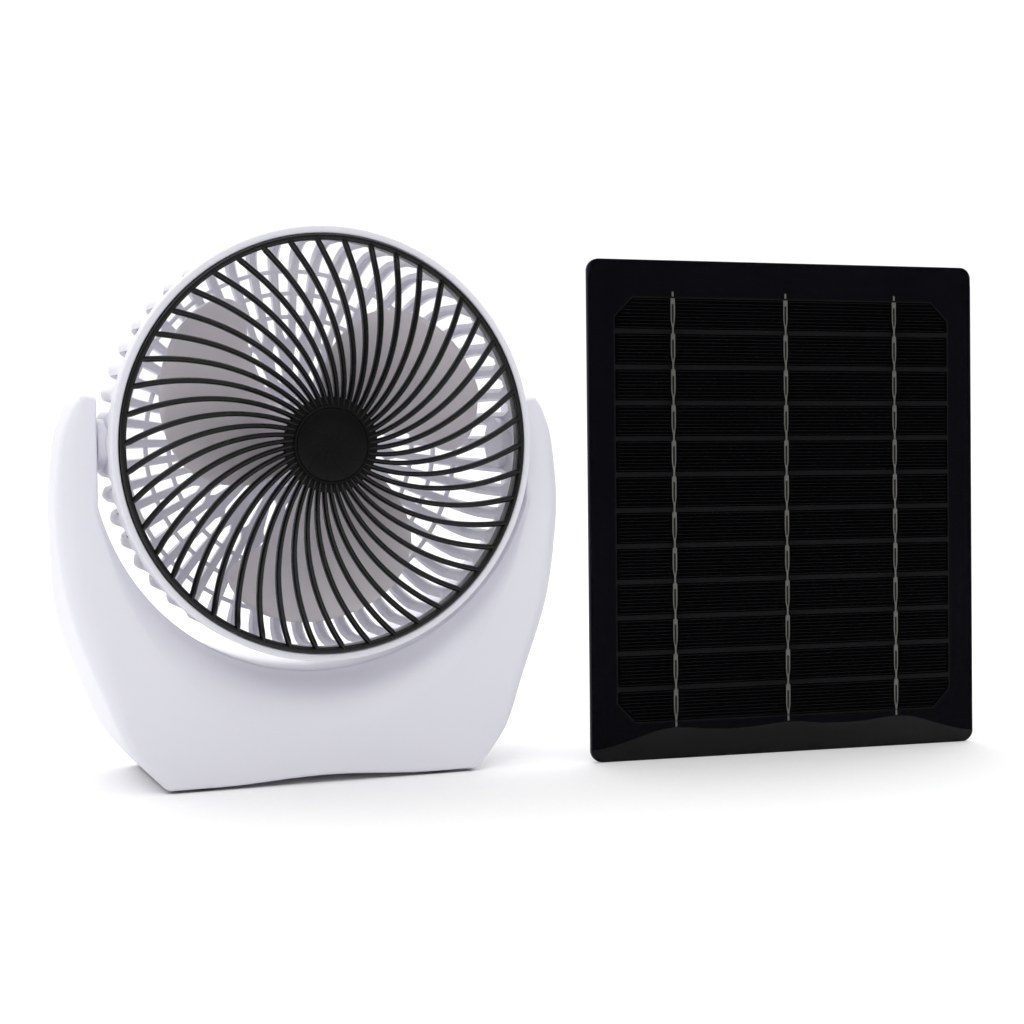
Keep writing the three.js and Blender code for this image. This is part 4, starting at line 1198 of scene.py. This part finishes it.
def ribbon_shape(x):
    """One tinned ribbon with rolled edges, with its loose dash above and its tail below."""
    shape = Shape()
    spans = [
        (ARRAY_BASE - 2.6, ARRAY_BASE - 0.5), (ARRAY_BASE, ARRAY_TOP), (ARRAY_TOP + 0.8, ARRAY_TOP + 2.8),
    ]
    for low, high in spans:
        steps = max(4, round((high - low) / 0.35))
        loops = []
        for i in range(steps + 1):
            z = mix(low, high, i / steps)
            inside = ARRAY_BASE <= z <= ARRAY_TOP
            half, channel = ribbon_form(z) if inside else (0.42, 0.0)
            section = [
                (-1.0, 0.24), (-1.0, 0.05), (-0.86, 0.0), (-0.62, 0.01), (-0.46, 0.03 + channel),
                (0.0, 0.04 + channel), (0.46, 0.03 + channel), (0.62, 0.01), (0.86, 0.0), (1.0, 0.05),
                (1.0, 0.24),
            ]
            loops.append([(x + half * u, RIBBON_FRONT + y, z) for u, y in section])
        shape.loft(loops)
    return shape


def film_shore(x):
    """The height up to which the laminate slopes off to its lower edge: it stays fuller round the
    ribbon ends and runs out towards the corners."""
    swell = max(math.exp(-((x - ribbon) / 13.0) ** 2) for ribbon in RIBBONS)
    ends = smooth(abs(x), 56.0, 92.0)
    return ARRAY_BASE - 4.6 + 1.7 * swell - 6.4 * ends


def film_slope(x, z):
    """How far the laminate's face falls back along its lower edge."""
    return 0.36 * smooth(film_shore(x) - z, 0.0, 7.0)


SHORE_ROWS = 16


def film_shape():
    """The laminate as one closed thin sheet, with a row of points along the shore of its slope."""
    columns = [mix(-PANEL_WIDTH / 2, PANEL_WIDTH / 2, i / 120) for i in range(121)]

    def inside_corner(x, z):
        half = PANEL_WIDTH / 2 - PANEL_CORNER
        cz = min(max(z, PANEL_CORNER), PANEL_HEIGHT - PANEL_CORNER)
        cx = min(max(x, -half), half)
        away = Vector((x - cx, z - cz))
        if away.length > PANEL_CORNER - 0.35:
            away = away.normalized() * (PANEL_CORNER - 0.35)
        return cx + away.x, cz + away.y

    front, back = [], []
    for i in range(SHORE_ROWS + 25):
        front_row, back_row = [], []
        for x in columns:
            shore = film_shore(x)
            if i <= SHORE_ROWS:
                z = shore * i / SHORE_ROWS
            else:
                z = mix(shore, PANEL_HEIGHT, (i - SHORE_ROWS) / 24)
            px, pz = inside_corner(x, z)
            fall = film_slope(px, pz)
            front_row.append((px, 0.02 + fall, pz))
            back_row.append((px, 0.36 + 0.6 * fall, pz))
        front.append(front_row)
        back.append(back_row)
    shape = Shape()
    shape.grid(front)
    shape.grid(back)
    shape.grid([border(front), border(back)], closed_across=True)
    return shape


def border(rows):
    return (
        list(rows[0]) + [row[-1] for row in rows[1:]] + list(reversed(rows[-1]))[1:]
        + [row[0] for row in reversed(rows[1:-1])]
    )


# Sizes, finishes and stage settings that a user would change.

class FanSizes(bpy.types.PropertyGroup):
    spokes: bpy.props.IntProperty(
        name="Grille spokes", description="How many swept spokes the front grille has", default=46, min=12, max=90
    )
    vents: bpy.props.IntProperty(
        name="Housing vents", description="How many openings run round the housing", default=52, min=16, max=90
    )
    rib_round: bpy.props.FloatProperty(
        name="Rib rounding", description="How far a housing rib falls away from its middle, in millimetres",
        default=1.5, min=0.0, max=3.0,
    )
    blades: bpy.props.IntProperty(
        name="Blades", description="How many blades the impeller has", default=3, min=2, max=7
    )
    blade_thickness: bpy.props.FloatProperty(
        name="Blade thickness", description="Thickness of a blade at its middle, in millimetres",
        default=1.6, min=0.8, max=3.0,
    )
    fingers: bpy.props.IntProperty(
        name="Cell fingers", description="How many fine printed lines run along one cell strip",
        default=9, min=0, max=20,
    )
    finger_width: bpy.props.FloatProperty(
        name="Finger width", description="Width of a printed line on the cells, in millimetres",
        default=0.36, min=0.05, max=0.6,
    )


class FanFinishes(bpy.types.PropertyGroup):
    shell: bpy.props.FloatVectorProperty(
        name="Shell", description="Colour of the base and the housing", subtype="COLOR",
        default=(0.78, 0.777, 0.845), min=0.0, max=1.0,
    )
    grille: bpy.props.FloatVectorProperty(
        name="Grille", description="Colour of the front grille", subtype="COLOR",
        default=(0.0022, 0.0022, 0.0023), min=0.0, max=1.0,
    )
    blade: bpy.props.FloatVectorProperty(
        name="Blades", description="Colour of the impeller", subtype="COLOR",
        default=(0.84, 0.80, 0.84), min=0.0, max=1.0,
    )
    board: bpy.props.FloatVectorProperty(
        name="Board", description="Colour of the panel's board", subtype="COLOR",
        default=(0.013, 0.013, 0.0185), min=0.0, max=1.0,
    )
    ribbon: bpy.props.FloatVectorProperty(
        name="Ribbons", description="Colour of the tinned ribbons", subtype="COLOR",
        default=(0.62, 0.62, 0.58), min=0.0, max=1.0,
    )


class FanStage(bpy.types.PropertyGroup):
    floor: bpy.props.FloatVectorProperty(
        name="Floor", description="Colour of the floor", subtype="COLOR", default=(0.95, 0.95, 0.95),
        min=0.0, max=1.0,
    )
    front: bpy.props.FloatProperty(
        name="Front wall", description="Brightness of the light tent's front", default=0.15, min=0.0, max=5.0
    )
    back: bpy.props.FloatProperty(
        name="Back wall", description="Brightness of the light tent's back", default=1.08, min=0.0, max=5.0
    )
    roof: bpy.props.FloatProperty(
        name="Roof", description="Extra brightness straight above", default=1.35, min=0.0, max=5.0
    )
    key: bpy.props.FloatProperty(
        name="Key light", description="Power of the large soft light", default=3.0, min=0.0,
        subtype="POWER",
    )
    lens: bpy.props.FloatProperty(
        name="Lens", description="Focal length of the camera, in millimetres", default=65.42, min=20.0, max=200.0
    )


# Operators, one for each piece or group of like pieces.

class PieceOperator:
    bl_options = {"REGISTER", "UNDO"}


class FAN_OT_base_shells(PieceOperator, bpy.types.Operator):
    """Make the yoke base's front and rear shells with their ports"""

    bl_idname = "solar_fan.base_shells"
    bl_label = "Base shells"

    def execute(self, context):
        bush_holes = Shape()
        for side in (-1, 1):
            x0, x1 = sorted((side * 82.0, side * 92.5))
            bush_holes.loft([
                [(x, 5.3 * math.cos(a), PIVOT_HEIGHT + 5.3 * math.sin(a)) for a in circle(40)]
                for x in (x0, x1)
            ])
        front = base_shell("base_front", True)
        carve(front, bush_holes, FAN)
        finish_piece(front, "base", "white_shell", replaces=("base_front_shell",))
        rear = base_shell("base_rear", False)
        carve(rear, bush_holes, FAN)
        carve(rear, rear_ports(), FAN)
        finish_piece(rear, "base", "white_shell", replaces=("base_rear_shell",))
        for obj in (front, rear):
            obj.data.shade_smooth()
            obj.data.set_sharp_from_angle(angle=math.radians(50))
        return {"FINISHED"}


class FAN_OT_base_floor(PieceOperator, bpy.types.Operator):
    """Make the rubber feet and finish the plate that closes the base"""

    bl_idname = "solar_fan.base_floor"
    bl_label = "Base floor and feet"

    def execute(self, context):
        refinish("white_shell", "base_bottom_plate", radius=0.5)
        for node in ("foot_front_left", "foot_front_right", "foot_rear_left", "foot_rear_right"):
            low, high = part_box(node)
            centre = (low + high) / 2 / MM
            radius, top = (high.x - low.x) / 2 / MM, high.z / MM
            profile = [(0, top), (radius - 0.4, top), (radius, top - 0.4)]
            profile += [
                (radius - 1.1 * (1 - math.cos(a)), 1.1 * (1 - math.sin(a)))
                for a in (k / 6 * math.pi / 2 for k in range(7))
            ]
            profile += [(radius * 0.62, 0.0), (radius * 0.58, 0.35), (radius * 0.2, 0.35), (0, 0.35)]
            shape = Shape().lathe(profile, 48, axis="Z", centre=(centre.x, centre.y, 0), open_ends=True)
            obj = build(node.replace("foot", "rubber_foot"), shape, Matrix.Scale(MM, 4))
            finish_piece(obj, "base", "rubber", replaces=(node,))
        return {"FINISHED"}


class FAN_OT_screws(PieceOperator, bpy.types.Operator):
    """Make the pan-head screws of the base, the motor and the panel's box"""

    bl_idname = "solar_fan.screws"
    bl_label = "Screws"

    def execute(self, context):
        for i, (x, z) in enumerate(SHELL_SCREWS):
            name = "base_screw_%d" % (i + 1)
            seat = yoke_rear(z) - 2.7
            pan_screw(name.replace("base", "shell"), name, FAN, (x, z), 1.3, 2.6, seat, -9.9, "base")
        for i, x in enumerate((-9, 9)):
            name = "motor_screw_%d" % (i + 1)
            pan_screw(name.replace("motor", "can"), name, HEAD, (x, 0), 1.0, 1.9, 3.25, 7.8, "head")
        for i, (x, z) in enumerate(((-16, 123), (16, 147))):
            name = "lid_screw_%d" % (i + 1)
            pan_screw(name.replace("lid", "box"), name, PANEL, (x, z), 1.0, 2.0, 15.9, 8.3, "panel")
        return {"FINISHED"}


class FAN_OT_controls(PieceOperator, bpy.types.Operator):
    """Make the button, the charging lamp and the charging socket at the back of the base"""

    bl_idname = "solar_fan.controls"
    bl_label = "Button, lamp and socket"

    def execute(self, context):
        x, z = BUTTON_PLACE
        profile = [(0, 46.2), (6.1, 46.2), (6.1, 47.2), (5.0, 47.2), (5.0, 51.1)]
        profile += [(4.9, 51.5), (4.6, 51.75), (4.1, 51.8), (3.2, 51.5), (1.8, 51.3), (0, 51.25)]
        button = build("round_button", Shape().lathe(profile, 64, centre=(x, 0, z), open_ends=True), FAN)
        finish_piece(button, "button", "grey_button", replaces=("speed_button",))

        x, z = LENS_PLACE
        profile = [(0, 43.1), (2.5, 43.1), (2.5, 47.2), (1.6, 47.2), (1.6, 49.7), (1.3, 50.1), (0.7, 50.27), (0, 50.3)]
        lens = build("lamp_lens", Shape().lathe(profile, 40, centre=(x, 0, z), open_ends=True), FAN)
        finish_piece(lens, "base", "clear_lens", replaces=("indicator_lens",))

        x, z = JACK_PLACE
        collar = [(0, 43.2), (3.0, 43.2), (3.0, 49.2), (2.75, 49.55), (0, 49.6)]
        shape = Shape().lathe(collar, 56, centre=(x, 0, z), open_ends=True)
        socket = build("charging_socket", shape, FAN)
        mouth = rounded_outline(4.4, 2.4, 1.1, low=z - 1.2, steps=6)
        carve(socket, Shape().loft([[(x + px, y, pz) for px, pz in mouth] for y in (44.4, 52)]), FAN)
        finish_piece(socket, "base", "black_socket", replaces=("charge_socket",))
        tongue = Shape().box((x - 1.5, 44.2, z - 0.3), (x + 1.5, 48.4, z + 0.3))
        blade = build("socket_tongue", tongue, FAN, sharp=30)
        round_edges(blade, 0.12)
        finish_piece(blade, "base", "steel")
        return {"FINISHED"}


class FAN_OT_base_inside(PieceOperator, bpy.types.Operator):
    """Finish what the base holds: battery, cradle, circuit, switch and pivot bushes"""

    bl_idname = "solar_fan.base_inside"
    bl_label = "Inside of the base"

    def execute(self, context):
        refinish("battery_wrap", "battery_cell", radius=0.5)
        refinish("nylon", "battery_cradle", radius=0.4)
        refinish("circuit_board", "charge_board", radius=0.15)
        refinish("black_socket", "button_switch", radius=0.2)
        refinish("nylon", "pivot_bush_left", "pivot_bush_right", radius=0.2)
        return {"FINISHED"}


class FAN_OT_housing(PieceOperator, bpy.types.Operator):
    """Make the ribbed housing with its rim, pivot bosses, motor cup and latch marks"""

    bl_idname = "solar_fan.housing"
    bl_label = "Housing"

    def execute(self, context):
        sizes = context.scene.fan_sizes
        bowl = build("housing_bowl", housing_bowl(sizes.vents, sizes.rib_round), HEAD, inside=(0, 0, 0), sharp=45)
        thicken(bowl, 2.0)
        bowl.data.shade_smooth()
        bowl.data.set_sharp_from_angle(angle=math.radians(40))
        finish_piece(bowl, "head", "white_shell", replaces=("rear_housing",))

        seat = GRILLE_FACE + 6.3
        rim = rounded_loop([
            (GRILLE_RADIUS + 0.3, RIM_FRONT), (HEAD_RADIUS, RIM_FRONT), (HEAD_RADIUS, RIM_BACK),
            (HOUSING_RADIUS + 0.03, RIM_BACK + 1), (HOUSING_RADIUS - 2, RIM_BACK + 1),
            (HOUSING_RADIUS - 2, seat + 3), (LEDGE_RADIUS, seat + 2), (LEDGE_RADIUS, seat),
            (GRILLE_RADIUS + 0.3, seat),
        ], 0.7, 6)
        shape = Shape().lathe(rim, 240)
        for r, y in ((52.0, 29.2), (61.5, 28.4), (70.5, 26.2)):
            hoop = rounded_loop([(r - 0.9, y - 1.1), (r + 0.9, y - 1.1), (r + 0.9, y + 0.9), (r - 0.9, y + 0.9)], 0.4, 2)
            shape.lathe(hoop, 180)
        cup = rounded_loop([
            (CUP_RADIUS, HOUSING_BACK), (MOTOR_RADIUS + 0.5, HOUSING_BACK), (MOTOR_RADIUS + 0.5, CUP_FRONT + 2),
            (5.5, CUP_FRONT + 2), (5.5, CUP_FRONT), (CUP_RADIUS, CUP_FRONT),
        ], 0.4, 3)
        shape.lathe(cup, 96)
        for side in (-1, 1):
            boss = [
                (0, BOSS_ROOT), (BOSS_RADIUS, BOSS_ROOT), (BOSS_RADIUS, BOSS_FACE - 0.6),
                (BOSS_RADIUS - 0.2, BOSS_FACE - 0.2), (BOSS_RADIUS - 0.6, BOSS_FACE), (8.1, BOSS_FACE),
                (8.1, BOSS_FACE - 1.2), (3.3, BOSS_FACE - 1.2), (3.3, BOSS_ROOT + 2), (0, BOSS_ROOT + 2),
            ]
            shape.lathe([(r, side * x) for r, x in boss], 64, axis="X", open_ends=True)
            dot = [(0, -BOSS_RADIUS - 0.14), (0.5, -BOSS_RADIUS - 0.1), (0.7, -BOSS_RADIUS + 0.3), (0, -BOSS_RADIUS + 0.3)]
            shape.lathe(dot, 16, centre=(side * 85.5, 0.35, 2.0), open_ends=True)
        obj = build("housing_rim", shape, HEAD, sharp=40)
        marks = Shape()
        for start, width in ((-112.0, 1.9), (-109.2, 1.3)):
            a = math.radians(start)
            out = Vector((math.cos(a), 0, math.sin(a)))
            side_way = Vector((-math.sin(a), 0, math.cos(a)))
            loops = []
            for depth in (HEAD_RADIUS - 1.5, HEAD_RADIUS + 1):
                centre = out * depth
                loops.append([
                    tuple(centre + side_way * (u * width) + Vector((0, y, 0)))
                    for u, y in ((-0.5, -22.0), (0.5, -22.0), (0.5, -14.5), (-0.5, -14.5))
                ])
            marks.loft(loops)
        carve(obj, marks, HEAD)
        finish_piece(obj, "head", "white_shell")
        return {"FINISHED"}


class FAN_OT_motor_cover(PieceOperator, bpy.types.Operator):
    """Make the round cover over the motor at the back of the head"""

    bl_idname = "solar_fan.motor_cover"
    bl_label = "Motor cover"

    def execute(self, context):
        path = [(0.0, 38.45), (12.0, 38.0), (20.0, 35.6), (21.7, 34.0), (21.95, 33.35)]
        outer = [p for p in rounded_path(path, 4.0, 8)]
        inner = [(r * 0.9, y - 1.8) for r, y in reversed(path[:4])]
        profile = outer + [(19.5, 33.35)] + [(min(r, 19.2), max(y, 33.4)) for r, y in inner]
        shape = Shape().lathe(profile, 96, open_ends=True)
        for r in (7.5, 11.5, 15.5):
            y = 38.4 - 0.0037 * r * r
            bead = [(r + 0.35 * math.cos(a), y + 0.22 * math.sin(a)) for a in circle(8)]
            shape.lathe(bead, 96)
        obj = build("motor_back_cover", shape, HEAD)
        finish_piece(obj, "head", "white_shell", replaces=("motor_cover",))
        return {"FINISHED"}


class FAN_OT_grille(PieceOperator, bpy.types.Operator):
    """Make the swept front grille"""

    bl_idname = "solar_fan.grille"
    bl_label = "Front grille"

    def execute(self, context):
        obj = build("swept_grille", grille_shape(context.scene.fan_sizes.spokes), HEAD, sharp=38)
        finish_piece(obj, "head", "black_grille", replaces=("front_grille",))
        hub = build("grille_hub", hub_shape(), HEAD, sharp=38)
        finish_piece(hub, "head", "black_grille")
        hub.data.materials[0] = cap_black()
        return {"FINISHED"}


class FAN_OT_grille_cap(PieceOperator, bpy.types.Operator):
    """Make the round cap in the middle of the grille"""

    bl_idname = "solar_fan.grille_cap"
    bl_label = "Grille cap"

    def execute(self, context):
        obj = build("swirl_cap", cap_shape(), HEAD)
        finish_piece(obj, "head", "black_grille", replaces=("grille_hub_cap",))
        obj.data.materials[0] = cap_black()
        return {"FINISHED"}


class FAN_OT_pivots(PieceOperator, bpy.types.Operator):
    """Finish the pivot pins and their friction washers"""

    bl_idname = "solar_fan.pivots"
    bl_label = "Pivots"

    def execute(self, context):
        refinish("steel", "pivot_pin_left", "pivot_pin_right", radius=0.3)
        refinish("rubber", "friction_washer_left", "friction_washer_right", radius=0.2)
        return {"FINISHED"}


class FAN_OT_motor(PieceOperator, bpy.types.Operator):
    """Finish the motor's can, end cap, bushes, magnets, rotor and shaft"""

    bl_idname = "solar_fan.motor"
    bl_label = "Motor"

    def execute(self, context):
        refinish("steel", "motor_can", "motor_rotor", "motor_shaft", radius=0.2)
        refinish("nylon", "motor_end_cap", radius=0.2)
        refinish("brass", "motor_bush_front", "motor_bush_rear", radius=0.15)
        refinish("black_socket", "magnet_upper", "magnet_lower", radius=0.2)
        return {"FINISHED"}


class FAN_OT_impeller(PieceOperator, bpy.types.Operator):
    """Make the impeller with its swept blades, and its cap"""

    bl_idname = "solar_fan.impeller"
    bl_label = "Impeller"

    def execute(self, context):
        sizes = context.scene.fan_sizes
        cup = rounded_loop([
            (1.8, IMPELLER_FRONT), (12, IMPELLER_FRONT), (15.6, IMPELLER_FRONT + 1.2),
            (IMPELLER_RADIUS, IMPELLER_FRONT + 4), (IMPELLER_RADIUS, IMPELLER_BACK),
            (IMPELLER_RADIUS - 2, IMPELLER_BACK), (IMPELLER_RADIUS - 2, IMPELLER_FRONT + 3.4),
            (4.5, IMPELLER_FRONT + 3.4), (4.5, IMPELLER_BACK), (1.8, IMPELLER_BACK),
        ], 1.2, 4)
        shape = Shape().lathe(cup, 96)
        for i in range(sizes.blades):
            turn = FIRST_BLADE + i * 2 * math.pi / sizes.blades
            shape.loft(blade_loops(turn, sizes.blade_thickness))
        obj = build("bladed_impeller", shape, HEAD, sharp=50)
        finish_piece(obj, "impeller", "milky_blade", replaces=("impeller",))
        y = IMPELLER_FRONT
        profile = [(0, y - 3.4), (1.6, y - 3.3), (3.2, y - 2.8), (4.3, y - 1.9), (5.0, y - 0.3), (1.8, y - 0.3)]
        profile += [(1.8, y - 2.2), (0, y - 2.2)]
        cap = build("impeller_nose", Shape().lathe(profile, 48, open_ends=True), HEAD)
        finish_piece(cap, "impeller", "milky_blade", replaces=("impeller_cap",))
        return {"FINISHED"}


class FAN_OT_board(PieceOperator, bpy.types.Operator):
    """Make the panel's board"""

    bl_idname = "solar_fan.board"
    bl_label = "Panel board"

    def execute(self, context):
        outline = rounded_outline(PANEL_WIDTH, PANEL_HEIGHT, PANEL_CORNER, steps=12)
        obj = build("laminate_board", Shape().slab(outline, 0.64, BOARD_BACK), PANEL, sharp=0)
        round_edges(obj, 0.35)
        finish_piece(obj, "panel", "black_board", replaces=("panel_board",))
        return {"FINISHED"}


class FAN_OT_cells(PieceOperator, bpy.types.Operator):
    """Make the twelve cell strips and their fine printed fingers"""

    bl_idname = "solar_fan.cells"
    bl_label = "Cells"

    def execute(self, context):
        sizes = context.scene.fan_sizes
        strips, lines = Shape(), Shape()
        for i in range(STRIPS):
            strips.slab(strip_outline(i), CELL_FRONT, CELL_FRONT + 0.1)
            z0 = ARRAY_BASE + i * STRIP_PITCH
            for k in range(sizes.fingers):
                z = z0 + STRIP_HEIGHT * (k + 0.5) / sizes.fingers
                half = finger_half_length(i, z)
                w = sizes.finger_width / 2
                lines.box((-half, CELL_FRONT - 0.02, z - w), (half, CELL_FRONT + 0.01, z + w))
        obj = build("cell_strips", strips, PANEL, sharp=30)
        finish_piece(obj, "panel", "cell_black", replaces=("cell_string",))
        half, low, high = CELL_WIDTH / 2 + 0.6, ARRAY_BASE - 0.6, ARRAY_TOP + 0.6
        cut = CHAMFER + 0.4
        # The sheet behind the cells is darker than the board to stand in for the shade between the strips: painted
        # shade.
        backing = Shape().slab([
            (-half + cut, low), (half - cut, low), (half, low + cut), (half, high - cut),
            (half - cut, high), (-half + cut, high), (-half, high - cut), (-half, low + cut),
        ], CELL_FRONT + 0.02, CELL_FRONT + 0.06)
        obj = build("cell_backing", backing, PANEL, sharp=30)
        obj.data.materials.append(backing_painted_shade())
        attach(obj, "panel")
        if lines.faces:
            fingers = build("cell_fingers", lines, PANEL, sharp=30)
            fingers.data.materials.append(finger_print())
            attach(fingers, "panel")
        return {"FINISHED"}


class FAN_OT_ribbons(PieceOperator, bpy.types.Operator):
    """Make the three tinned ribbons"""

    bl_idname = "solar_fan.ribbons"
    bl_label = "Ribbons"

    def execute(self, context):
        for side, x in zip(("left", "middle", "right"), RIBBONS):
            obj = build("tinned_ribbon_" + side, ribbon_shape(x), PANEL, sharp=60)
            finish_piece(obj, "panel", "tinned_ribbon", replaces=("ribbon_" + side,))
            obj.data.materials.append(ribbon_channel())
            to_panel = PANEL.inverted()
            for face in obj.data.polygons:
                local = to_panel @ face.center
                if abs(local.x - x) < 0.5 and RIBBON_FRONT + 0.09 < local.y < RIBBON_FRONT + 0.2:
                    face.material_index = 1
        return {"FINISHED"}


class FAN_OT_film(PieceOperator, bpy.types.Operator):
    """Make the clear laminate over the panel's face"""

    bl_idname = "solar_fan.film"
    bl_label = "Front film"

    def execute(self, context):
        obj = build("clear_laminate", film_shape(), PANEL, sharp=60)
        finish_piece(obj, "panel", "clear_film", replaces=("front_film",))
        obj.data.materials.append(film_edge())
        to_panel = PANEL.inverted()
        for face in obj.data.polygons:
            local = to_panel @ face.center
            if local.z < film_shore(local.x):
                face.material_index = 1
        return {"FINISHED"}


class FAN_OT_wiring_box(PieceOperator, bpy.types.Operator):
    """Finish the wiring box, its lid and the output socket on the panel's back"""

    bl_idname = "solar_fan.wiring_box"
    bl_label = "Wiring box"

    def execute(self, context):
        refinish("black_grille", "junction_box", "junction_lid", radius=0.5)
        refinish("black_socket", "output_socket", radius=0.25)
        return {"FINISHED"}


class FAN_OT_leg(PieceOperator, bpy.types.Operator):
    """Make the panel's fold-out leg, its bracket and its pin"""

    bl_idname = "solar_fan.leg"
    bl_label = "Leg"

    def execute(self, context):
        refinish("black_grille", "leg_bracket", "support_leg", radius=0.5)
        refinish("steel", "leg_pin", radius=0.3)
        return {"FINISHED"}


class FAN_OT_stage(PieceOperator, bpy.types.Operator):
    """Set up the floor, the soft lights and the camera"""

    bl_idname = "solar_fan.stage"
    bl_label = "Stage"

    def execute(self, context):
        stage = context.scene.fan_stage
        scene = context.scene
        shape = Shape().loft([
            [(-6000, -6000, z), (6000, -6000, z), (6000, 6000, z), (-6000, 6000, z)] for z in (-40, 0)
        ])
        floor = build("floor", shape, Matrix.Scale(MM, 4), sharp=30)
        material, tree, shader = start_material("floor")
        where = tree.nodes.new("ShaderNodeTexCoord").outputs["Object"]
        paper = noise(tree, where, 400.0, detail=4.0)
        colour = tuple(stage.floor)
        tree.links.new(
            mix_colour(tree, ramp(tree, paper.outputs["Fac"], 0.3, 0.7), colour, tone(colour, 0.985)),
            shader.inputs["Base Color"],
        )
        shader.inputs["Roughness"].default_value = 0.9
        shader.inputs["Specular IOR Level"].default_value = 0.1
        floor.data.materials.append(material)

        world = bpy.data.worlds.new("light_tent")
        world.use_nodes = True
        tree = world.node_tree
        split = tree.nodes.new("ShaderNodeSeparateXYZ")
        tree.links.new(tree.nodes.new("ShaderNodeTexCoord").outputs["Generated"], split.inputs[0])
        walls = ramp(tree, split.outputs["Y"], -0.2, 0.8, stage.front, stage.back)
        roof = math_node(tree, "MULTIPLY", ramp(tree, split.outputs["Z"], 0.1, 1.0), stage.roof)
        tree.links.new(
            math_node(tree, "ADD", walls, roof), tree.nodes["Background"].inputs["Strength"]
        )
        tree.nodes["Background"].inputs["Color"].default_value = (1.0, 1.0, 1.0, 1)
        scene.world = world
        scene.view_settings.view_transform = "Standard"

        aim = Vector((0.0, 0.0, 0.11))
        lights = [
            ("key_light", (-0.6, -1.1, 1.3), 0.8, stage.key),
            ("side_light", (1.1, 0.2, 0.9), 0.7, stage.key * 0.35),
        ]
        for name, where_to, size, power in lights:
            data = bpy.data.lights.new(name, "AREA")
            data.shape = "DISK"
            data.size = size
            data.energy = power
            lamp = bpy.data.objects.new(name, data)
            lamp.location = where_to
            lamp.rotation_euler = (aim - Vector(where_to)).to_track_quat("-Z", "Y").to_euler()
            scene.collection.objects.link(lamp)

        data = bpy.data.cameras.new("camera")
        data.lens = stage.lens
        data.sensor_width = 36.0
        data.clip_start = 0.01
        camera = bpy.data.objects.new("camera", data)
        camera.location = (FAN @ Vector((-208.4, -721.1, 145.7)))
        camera.rotation_euler = (math.radians(90 - 3.04), 0, math.radians(-22.24))
        scene.collection.objects.link(camera)
        scene.camera = camera
        return {"FINISHED"}


PIECE_OPERATORS = [
    FAN_OT_base_shells,
    FAN_OT_base_floor,
    FAN_OT_screws,
    FAN_OT_controls,
    FAN_OT_base_inside,
    FAN_OT_housing,
    FAN_OT_motor_cover,
    FAN_OT_grille,
    FAN_OT_grille_cap,
    FAN_OT_pivots,
    FAN_OT_motor,
    FAN_OT_impeller,
    FAN_OT_board,
    FAN_OT_cells,
    FAN_OT_ribbons,
    FAN_OT_film,
    FAN_OT_wiring_box,
    FAN_OT_leg,
    FAN_OT_stage,
]


class FAN_PT_pieces(bpy.types.Panel):
    """Lists the fan's settings and the makers of its pieces"""

    bl_label = "Solar table fan"
    bl_idname = "FAN_PT_pieces"
    bl_space_type = "VIEW_3D"
    bl_region_type = "UI"
    bl_category = "Solar fan"

    def draw(self, context):
        for settings in (context.scene.fan_sizes, context.scene.fan_finishes, context.scene.fan_stage):
            box = self.layout.box()
            for name in settings.__annotations__:
                box.prop(settings, name)
        column = self.layout.column(align=True)
        for operator in PIECE_OPERATORS:
            column.operator(operator.bl_idname)


SETTINGS = {"fan_sizes": FanSizes, "fan_finishes": FanFinishes, "fan_stage": FanStage}


def register():
    for cls in (*SETTINGS.values(), *PIECE_OPERATORS, FAN_PT_pieces):
        bpy.utils.register_class(cls)
    for name, group in SETTINGS.items():
        setattr(bpy.types.Scene, name, bpy.props.PointerProperty(type=group))


def unregister():
    for name in SETTINGS:
        delattr(bpy.types.Scene, name)
    for cls in reversed((*SETTINGS.values(), *PIECE_OPERATORS, FAN_PT_pieces)):
        bpy.utils.unregister_class(cls)


def main():
    register()
    for operator in PIECE_OPERATORS:
        group, _, name = operator.bl_idname.partition(".")
        getattr(getattr(bpy.ops, group), name)()


if __name__ == "__main__":
    main()
